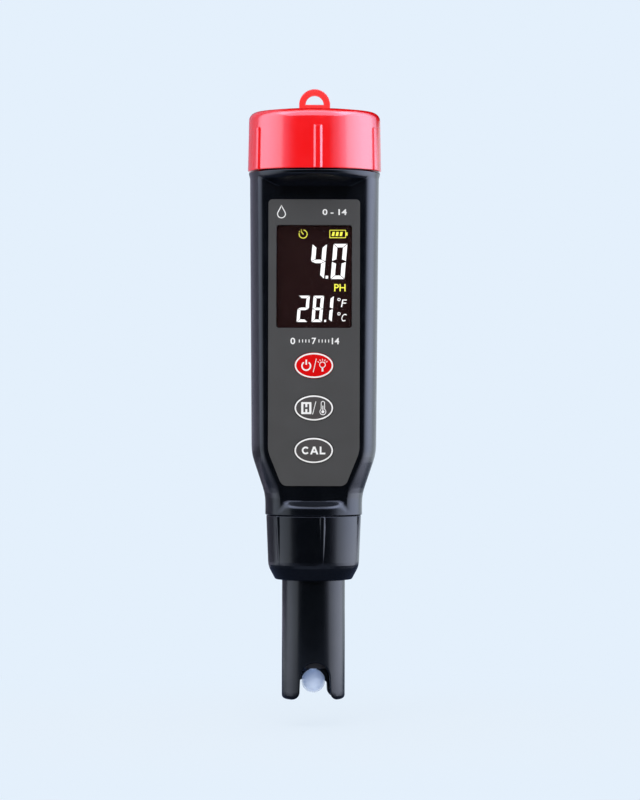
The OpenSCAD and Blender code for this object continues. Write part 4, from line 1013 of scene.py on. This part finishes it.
def make_key(name, slot):
    """An oval key with a slight crown, a lip and a stem, and the ring and the marks printed on it."""
    z = key_middle(name)
    node = name + "_key"
    body = name + "_button"
    front = low(node).y
    lip_back = Y_PANEL_BACK + KEY_LIP_T
    lip = [key_outline(z, -KEY_LIP)]
    stem = [oval(KEY_STEM_R, KEY_STEM_R, 0, z)]
    layers = [(front + drop, [key_outline(z, inset)]) for inset, drop in reversed(KEY_CROWN)]
    layers += [
        (Y_PANEL_BACK, [key_outline(z, 0)]), (Y_PANEL_BACK, lip), (lip_back, lip), (lip_back, stem),
        (high(node).y, stem)]
    piece(name + "_cap", plate(layers), body, slot, [node])
    band = [(inset, front + drop - PRINT) for inset, drop in KEY_BAND]
    band += [(inset, front + drop + PRINT) for inset, drop in reversed(KEY_BAND)]
    rings = [[(x, y, h) for x, h in key_outline(z, inset)] for inset, y in band]
    marks = slices(front - PRINT, front + KEY_PRINT_SUNK, raised(KEY_MARKS[name], z))
    piece(name + "_print", joined([skin(rings, loop=True)] + marks), body, "print_white")


# Marks and words

def stroke(points, width, closed=False):
    """Outlines of a line of a given width along points."""
    count = len(points)
    left = []
    right = []
    for k, (x, z) in enumerate(points):
        before = points[k - 1] if k or closed else points[k]
        after = points[(k + 1) % count] if k + 1 < count or closed else points[k]
        along = Vector((after[0] - before[0], after[1] - before[1])).normalized() * (width / 2)
        left.append((x - along.y, z + along.x))
        right.append((x + along.y, z - along.x))
    return [left, right] if closed else [left + right[::-1]]


def leaning(left, base, width, height, lean=0.0):
    """Outline of a bar that leans right."""
    right, top = left + width, base + height
    return [(left, base), (right, base), (right + lean, top), (left + lean, top)]


def raised(shapes, z):
    """Shapes, which are lists of outlines, moved up by z."""
    return [[[(x, z + h) for x, h in outline] for outline in shape] for shape in shapes]


def lettering(words, left, base, right, top, front, back, bold=0.0, lean=0.0):
    """Words as a thin solid that fills a box on the front, leaning right by a share of their height."""
    curve = bpy.data.curves.new("words", "FONT")
    curve.body = words
    curve.extrude = 0.1
    curve.offset = bold
    curve.resolution_u = 6
    obj = linked("words", curve)
    mesh = evaluated(obj)
    spots = [vertex.co.copy() for vertex in mesh.vertices]
    lowest = Vector(map(min, zip(*spots)))
    size = Vector(map(max, zip(*spots))) - lowest
    points = []
    shift = lean * (top - base)
    for spot in spots:
        share = spot - lowest
        points.append((
            left + (right - left - shift) * share.x / size.x + shift * share.y / size.y,
            back + (front - back) * share.z / size.z,
            base + (top - base) * share.y / size.y))
    faces = [tuple(face.vertices) for face in mesh.polygons]
    bpy.data.objects.remove(obj)
    bpy.data.curves.remove(curve)
    bpy.data.meshes.remove(mesh)
    return points, faces


BOLD_W = 0.42
LINE_W = 0.22
FINE_W = 0.2
TICK_W = 0.25
DROP_W = 0.28
RAY_W = 0.18
RAYS = (35, 62, 90, 118, 145)
LETTER_H = [
    (-3.05, -1.25), (-2.5, -1.25), (-2.5, -0.325), (-1.9, -0.325), (-1.9, -1.25), (-1.35, -1.25),
    (-1.35, 1.15), (-1.9, 1.15), (-1.9, 0.225), (-2.5, 0.225), (-2.5, 1.15), (-3.05, 1.15)]
LETTER_A = [
    (-1.05, -1.14), (-0.49, -1.14), (-0.29, -0.62), (0.59, -0.62), (0.79, -1.14), (1.35, -1.14),
    (0.47, 1.14), (-0.17, 1.14)]
LETTER_A_HOLE = [(-0.13, -0.2), (0.43, -0.2), (0.15, 0.55)]
LETTER_L = [(1.75, -1.14), (3.4, -1.14), (3.4, -0.64), (2.25, -0.64), (2.25, 1.14), (1.75, 1.14)]

# What the keys carry, around a key's middle: on and off and a lamp, an H and a thermometer, and CAL
KEY_MARKS = {
    "power": [
        stroke(arc(-2.25, -0.15, 1.25, 125, 415), BOLD_W),
        stroke([(-2.25, 0.2), (-2.25, 1.7)], BOLD_W),
        stroke([(-0.2, -2.0), (0.7, 2.0)], FINE_W),
        stroke(arc(2.5, 0.2, 0.82, 0, 348, 24), LINE_W, closed=True),
        stroke([(2.5, -0.65), (2.5, -1.75)], 0.5),
        *(stroke(ray, RAY_W) for ray in zip(circle(2.5, 0.2, 1.2, RAYS), circle(2.5, 0.2, 1.75, RAYS)))],
    "hold": [
        [rounded_box(-3.7, -0.7, -1.8, 1.7, 0.25), LETTER_H],
        stroke([(-0.35, -1.9), (0.6, 1.9)], FINE_W),
        stroke(arc(2.65, -1.1, 0.88, 125, 415, 20) + arc(2.65, 1.45, 0.5, 0, 180, 12), FINE_W, closed=True),
        [oval(0.45, 0.45, 2.65, -1.1, 24)],
        stroke([(2.65, -0.6), (2.65, 0.7)], 0.26)],
    "cal": [stroke(arc(-2.35, 0, 0.89, 42, 318), 0.5), [LETTER_A, LETTER_A_HOLE], [LETTER_L]],
}

SEGMENTS = {"0": "abcdef", "1": "bc", "2": "abged", "4": "fgbc", "8": "abcdefg"}
SLANT = 0.085

# A form is a digit's height, the widths of its upright and level segments, and their gap
MAIN_FORM = (10.3, 1.2, 1.02, 0.13)
SMALL_FORM = (7.7, 0.9, 0.74, 0.1)

# Each digit's sign, left side, foot, width and form. Here and below heights are from the window's foot
DIGITS = (
    ("4", -1.35, 14.2, 4.2, MAIN_FORM),
    ("0", 4.8, 14.2, 4.05, MAIN_FORM),
    ("2", -5.15, 1.6, 3.25, SMALL_FORM),
    ("8", -0.78, 1.6, 3.05, SMALL_FORM),
    ("1", 2.1, 1.6, 3.05, SMALL_FORM),
)

# Each point's left side, foot, width, height and lean
POINTS = ((3.3, 14.3, 0.75, 0.85, 0.07), (2.95, 1.6, 0.55, 0.66, 0.05))

UNITS = (("F", 6.0), ("C", 1.8))
UNIT_LEFT = 7.85
UNIT_RIGHT = 9.6
UNIT_H = 2.2
UNIT_LEAN = 0.2
DEGREE_X = 7.3
DEGREE_R = 0.36
CLOCK = (
    arc(-3.26, 27.35, 1.18, -195, 85), [(-3.16, 27.25), (-3.86, 28.1)], [(-3.71, 28.4), (-3.81, 28.65)],
    [(-4.21, 28.0), (-4.41, 28.15)])
CELL_SIGN = [
    [rounded_box(4.45, 9.3, 26.2, 28.6, 0.2), rounded_box(4.65, 9.1, 26.4, 28.4, 0.1)],
    *([leaning(left, 26.8, 0.72, 1.2, 0.25)] for left in (5.1, 6.25, 7.4)),
    [leaning(9.3, 26.9, 0.45, 1.0)]]
PANEL_TOP = Z_PANEL_TOP - WINDOW_LOW.z
DROP = arc(-9.6, PANEL_TOP - 4.3, 1.15, 150, 390, 30) + [
    (-9.25, PANEL_TOP - 2.55), (-9.6, PANEL_TOP - 1.8), (-9.95, PANEL_TOP - 2.55)]
TICKS = [side * (1.45 + 0.95 * k) for side in (-1, 1) for k in range(4)]
TICK_LOW = -4.45
TICK_TOP = -3.55
SCALE_LOW = -4.95
SCALE_TOP = -3.05
WORD_BOLD = 0.02


def digit(char, left, base, width, form):
    """Shapes of a seven-segment digit, leaning right."""
    height, upright, level, gap = form
    half = height / 2
    near, far = gap + upright, width - gap - upright
    top = [(gap, height), (width - gap, height), (far, height - level), (near, height - level)]
    right = [
        (width, height - gap), (width, half + gap), (width - upright, half + gap + level / 2),
        (width - upright, height - gap - level)]
    middle = [
        (gap, half), (near, half + level / 2), (far, half + level / 2), (width - gap, half),
        (far, half - level / 2), (near, half - level / 2)]
    segments = {"a": top, "b": right, "f": [(width - x, z) for x, z in right], "g": middle}
    for upper, lower in ("ad", "bc", "fe"):
        segments[lower] = [(x, height - z) for x, z in segments[upper]]
    return [[[(left + x + SLANT * z, base + z) for x, z in segments[s]]] for s in SEGMENTS[char]]


def printed(name, slot, look, front, back, shapes, words):
    """Shapes and words between two depths on the barrel. Words are rows of text, left, base, right, top,
    boldness and lean."""
    foot = WINDOW_LOW.z
    parts = slices(front, back, raised(shapes, foot))
    for text, left, base, right, top, *style in words:
        parts.append(lettering(text, left, foot + base, right, foot + top, front, back, *style))
    piece(name, joined(parts), "barrel", look)


def make_display():
    """The lit signs on the display's glass: numbers and units in white, the rest in yellow."""
    numbers = [shape for row in DIGITS for shape in digit(*row)] + [[leaning(*row)] for row in POINTS]
    units = []
    for letter, base in UNITS:
        numbers.append(stroke(arc(DEGREE_X, base + UNIT_H, DEGREE_R, 0, 345, 20), FINE_W, closed=True))
        units.append((letter, UNIT_LEFT, base, UNIT_RIGHT, base + UNIT_H, 0.0, UNIT_LEAN))
    signs = [stroke(line, LINE_W) for line in CLOCK] + CELL_SIGN
    depths = (Y_GLASS - SIGN_PROUD, Y_GLASS + SIGN_SUNK)
    printed("display_digits", "display_glass", "lit_white", *depths, numbers, units)
    quantity = ("PH", 5.9, 10.6, 9.2, 12.75, 0.008)
    printed("display_signs", "display_glass", "lit_yellow", *depths, signs, [quantity])


def make_prints():
    """Plain prints on the panel: a drop, a range and a scale."""
    shapes = [stroke(DROP, DROP_W, closed=True)]
    shapes += [stroke([(x, TICK_LOW), (x, TICK_TOP)], TICK_W) for x in TICKS]
    words = [("0 - 14", 2.4, PANEL_TOP - 4.6, 9.5, PANEL_TOP - 2.85, WORD_BOLD)]
    for text, left, right in (("0", -6.9, -5.5), ("7", -0.65, 0.65), ("14", 5.2, 7.4)):
        words.append((text, left, SCALE_LOW, right, SCALE_TOP, WORD_BOLD))
    depths = (Y_PANEL - PRINT, Y_PANEL + PANEL_PRINT_SUNK)
    printed("panel_print", "white_plastic", "print_white", *depths, shapes, words)


# Stage, in metres

BACKDROP = (0.776, 0.871, 0.973)
SKY_LIGHT = 0.75
TRAVEL = {joint["name"]: joint.get("range_m") for joint in frame["record"]["behaviour"]["joints"]}
FLOOR_GAP = 0.0004
FLOOR_Z = -TRAVEL["electrode_slide"][1] - FLOOR_GAP
FLOOR_REACH = 40.0
FLAG_Z = 0.0005
LEFT_BLUE = 1.35


def mixed(tree, factor, first, second):
    """A mix of two shaders by a factor output."""
    return add_node(tree, "MixShader", {0: factor, 1: first, 2: second})[0]


def seen_directly(tree):
    """1 for what the camera, a reflection or a clear material shows, and 0 for light on the object."""
    path = add_node(tree, "LightPath")
    total = path["Is Camera Ray"]
    for ray in ("Is Glossy Ray", "Is Transmission Ray"):
        total = add_node(tree, "Math", {0: total, 1: path[ray]}, operation="MAXIMUM")[0]
    return total


def make_world():
    """A pale backdrop where the world is seen, and white light from it on the pen."""
    world = bpy.data.worlds.new("studio")
    world.use_nodes = True
    bpy.context.scene.world = world
    tree = world.node_tree
    shown = tree.nodes["Background"]
    feed(tree, shown, {"Color": (*BACKDROP, 1), "Strength": 1.0})
    light = add_node(tree, "Background", {"Color": (1, 1, 1, 1), "Strength": SKY_LIGHT})
    out = mixed(tree, seen_directly(tree), light[0], shown.outputs[0])
    feed(tree, tree.nodes["World Output"], {"Surface": out})


def flat_card(name, corners, material):
    mesh = bpy.data.meshes.new(name)
    mesh.from_pydata(corners, [], [tuple(range(len(corners)))])
    mesh.materials.append(material)
    obj = linked(name, mesh)
    return obj


def lying(near_half, near_y, far_half, far_y, z):
    """Corners of a level card, from its half width and place at both ends."""
    return [(-near_half, near_y, z), (near_half, near_y, z), (far_half, far_y, z), (-far_half, far_y, z)]


def standing(left, right, base, top):
    """Corners of an upright card over the line between two points."""
    return [(*left, base), (*right, base), (*right, top), (*left, top)]


def make_floor():
    """A pale floor that fades into the backdrop and keeps a faint shadow near the pen. It is just clear of
    the electrode where that is drawn out furthest, because the pen hangs by its eye."""
    material, tree, shader = new_material("floor")
    tree.nodes.remove(shader)
    glow = add_node(tree, "Emission", {"Color": (*BACKDROP, 1)})
    cloth = add_node(tree, "BsdfDiffuse", {"Color": (0.86, 0.86, 0.86, 1)})
    place = add_node(tree, "TexCoord")
    away = add_node(tree, "VectorMath", {0: place["Object"]}, operation="LENGTH")
    fade = add_node(tree, "MapRange", {
        "Value": away["Value"], "From Min": 0.01, "From Max": 0.2, "To Min": 0.88, "To Max": 1.0},
        interpolation_type="SMOOTHSTEP")
    shown = add_node(tree, "Math", {0: fade["Result"], 1: seen_directly(tree)}, operation="MULTIPLY")
    out = mixed(tree, shown[0], cloth[0], glow[0])
    feed(tree, tree.nodes["Material Output"], {"Surface": out})
    corners = lying(FLOOR_REACH, -FLOOR_REACH, FLOOR_REACH, FLOOR_REACH, FLOOR_Z)
    flat_card("floor", corners, material).visible_glossy = False


def matte(name, colour, glow=(0, 0, 0)):
    """A plain card's material, with a faint light of its own where no light falls on it."""
    material, tree, shader = new_material(name)
    feed(tree, shader, {
        "Base Color": (*colour, 1), "Specular IOR Level": 0.0, "Emission Color": (*glow, 1),
        "Emission Strength": 1.0})
    return material


def make_flags():
    """Dark cards in front, on the floor there, high behind and below the floor, and grey ones behind to the
    left, which keep the pen's front, top, foot and left edge dark. Only reflections show them."""
    black = matte("black_card", (0, 0, 0))
    near = matte("near_card", (0.26, 0.31, 0.46))
    under = matte("under_card", (0, 0, 0), (0.06, 0.08, 0.15))
    flags = [
        ("front_flag", black, standing((-3.4, -2.2), (3.4, -2.2), 0.0, 5.0)),
        ("near_flag", near, lying(0.08, -0.05, 0.19, -0.12, FLAG_Z)),
        ("floor_flag", black, lying(0.19, -0.12, 3.4, -2.2, FLAG_Z)),
        ("high_flag", black, standing((-0.5, 0.3), (0.5, 0.3), 0.2, 1.2)),
        ("under_flag", under, lying(0.3, -0.3, 0.3, 0.8, -0.03))]
    for k, (tone, base, top) in enumerate(((0.5, 0.0, 0.014), (0.16, 0.014, 0.06), (0.4, 0.06, 0.5))):
        grey = matte(f"grey_card_{k}", (tone, tone, LEFT_BLUE * tone))
        flags.append((f"left_card_{k}", grey, standing((-0.254, 0.092), (-0.067, 0.251), base, top)))
    for name, material, corners in flags:
        flag = flat_card(name, corners, material)
        flag.visible_camera = False
        flag.visible_diffuse = False
        flag.visible_transmission = False
        flag.visible_shadow = name == "front_flag"


def lamp(name, azimuth, height, distance, width, tall, radiance, colour=(1, 1, 1), aim=0.09):
    """A softbox of a given radiance at an azimuth in degrees, aimed at a height on the pen's axis."""
    data = bpy.data.lights.new(name, "AREA")
    data.shape = "RECTANGLE"
    data.size = width
    data.size_y = tall
    data.energy = radiance * pi * width * tall
    data.color = colour
    obj = linked(name, data)
    obj.location = at(distance, radians(azimuth), height)
    ahead = Vector((0, 0, aim)) - Vector(obj.location)
    obj.rotation_euler = ahead.to_track_quat("-Z", "Y").to_euler()
    obj.visible_camera = False
    return obj


SKY = (0.62, 0.70, 1.0)
PALE = (0.75, 0.79, 1.0)
BOX_AWAY = 0.22
BOX_W = 0.7

# Shares of a box's light at azimuths in degrees
RIGHT_LOW = {40: 0.0, 50: 0.18, 60: 0.42, 75: 0.78, 90: 1.0, 105: 0.9, 120: 0.65, 132: 0.3, 137: 0.0}
RIGHT_HIGH = {
    26: 0.0, 40: 0.22, 50: 0.5, 60: 0.7, 75: 0.92, 90: 1.0, 105: 0.85, 120: 0.6, 132: 0.45, 137: 0.2}
LEFT_LOW = {-126: 0.0, -118: 0.2, -104: 0.75, -88: 1.0, -75: 0.85, -60: 0.45, -50: 0.2, -40: 0.0}
LEFT_FOOT = LEFT_LOW | {-75: 0.68, -60: 0.3, -50: 0.12}
LEFT_HIGH = {
    -130: 0.0, -110: 0.55, -100: 0.87, -88: 1.0, -75: 0.9, -60: 0.62, -50: 0.35, -40: 0.1, -32: 0.0}

# Each box's name, azimuth in degrees, lower and upper end, radiance, shares and colour
BOXES = (
    ("right_foot_box", 83, -0.06, 0.027, 2.6, RIGHT_LOW, PALE),
    ("right_collar_box", 83, 0.027, 0.08, 2.7, RIGHT_LOW, SKY),
    ("right_low_box", 83, 0.08, 0.165, 3.2, RIGHT_LOW, SKY),
    ("right_high_box", 83, 0.165, 0.6, 3.9, RIGHT_HIGH, SKY),
    ("left_foot_box", -81, -0.06, 0.024, 1.05, LEFT_FOOT, PALE),
    ("left_collar_box", -81, 0.024, 0.066, 0.3, LEFT_FOOT, SKY),
    ("left_low_box", -81, 0.066, 0.165, 1.0, LEFT_LOW, SKY),
    ("left_high_box", -81, 0.165, 0.6, 2.2, LEFT_HIGH, SKY),
)


def shaded_box(name, azimuth, base, top, radiance, shares, colour):
    """A softbox between two heights that only reflections show, whose light changes across it."""
    middle = (base + top) / 2
    box = lamp(name, azimuth, middle, BOX_AWAY, BOX_W, top - base, radiance, colour, middle)
    box.visible_diffuse = False
    box.data.use_nodes = True
    tree = box.data.node_tree
    place = add_node(tree, "NewGeometry")
    across = add_node(tree, "SeparateXYZ", {0: place["Parametric"]})
    ramp = tree.nodes.new("ShaderNodeValToRGB")
    stops = ramp.color_ramp.elements
    while len(stops) < len(shares):
        stops.new(0.5)
    for stop, (angle, share) in zip(stops, shares.items()):
        stop.position = 0.5 + tan(radians(angle - azimuth)) * BOX_AWAY / BOX_W
        stop.color = (share, share, share, 1)
    feed(tree, ramp, {0: across["X"]})
    feed(tree, tree.nodes["Emission"], {"Strength": ramp.outputs["Color"]})


def make_lamps():
    """A soft front light that reflections don't show, and boxes that only reflections show."""
    front = lamp("front_light", azimuth=-8, height=1.3, distance=1.05, width=1.2, tall=1.2, radiance=2.4)
    front.visible_glossy = False
    for box in BOXES:
        shaded_box(*box)
    top = lamp("top_box", 0, height=0.9, distance=0.55, width=2.2, tall=1.3, radiance=2.5, colour=SKY)
    top.visible_diffuse = False


def make_camera():
    """Level with the middle of the pen, about a metre in front of it."""
    data = bpy.data.cameras.new("camera")
    data.sensor_fit = "VERTICAL"
    data.sensor_height = 24
    data.lens = 102.9
    data.clip_start = 0.01
    camera = linked("camera", data)
    camera.location = (0.0018, -1.014, 0.0882)
    camera.rotation_euler = (radians(90), radians(-0.14), 0)
    bpy.context.scene.camera = camera


bpy.context.scene.view_settings.view_transform = "Standard"
make_camera()
make_world()
make_floor()
make_flags()
make_lamps()
make_barrel()
make_cap()
make_collar()
make_electrode()
make_panel()
for key_name, key_slot in KEY_SLOTS.items():
    make_key(key_name, key_slot)
make_display()
make_prints()
dress_cad()
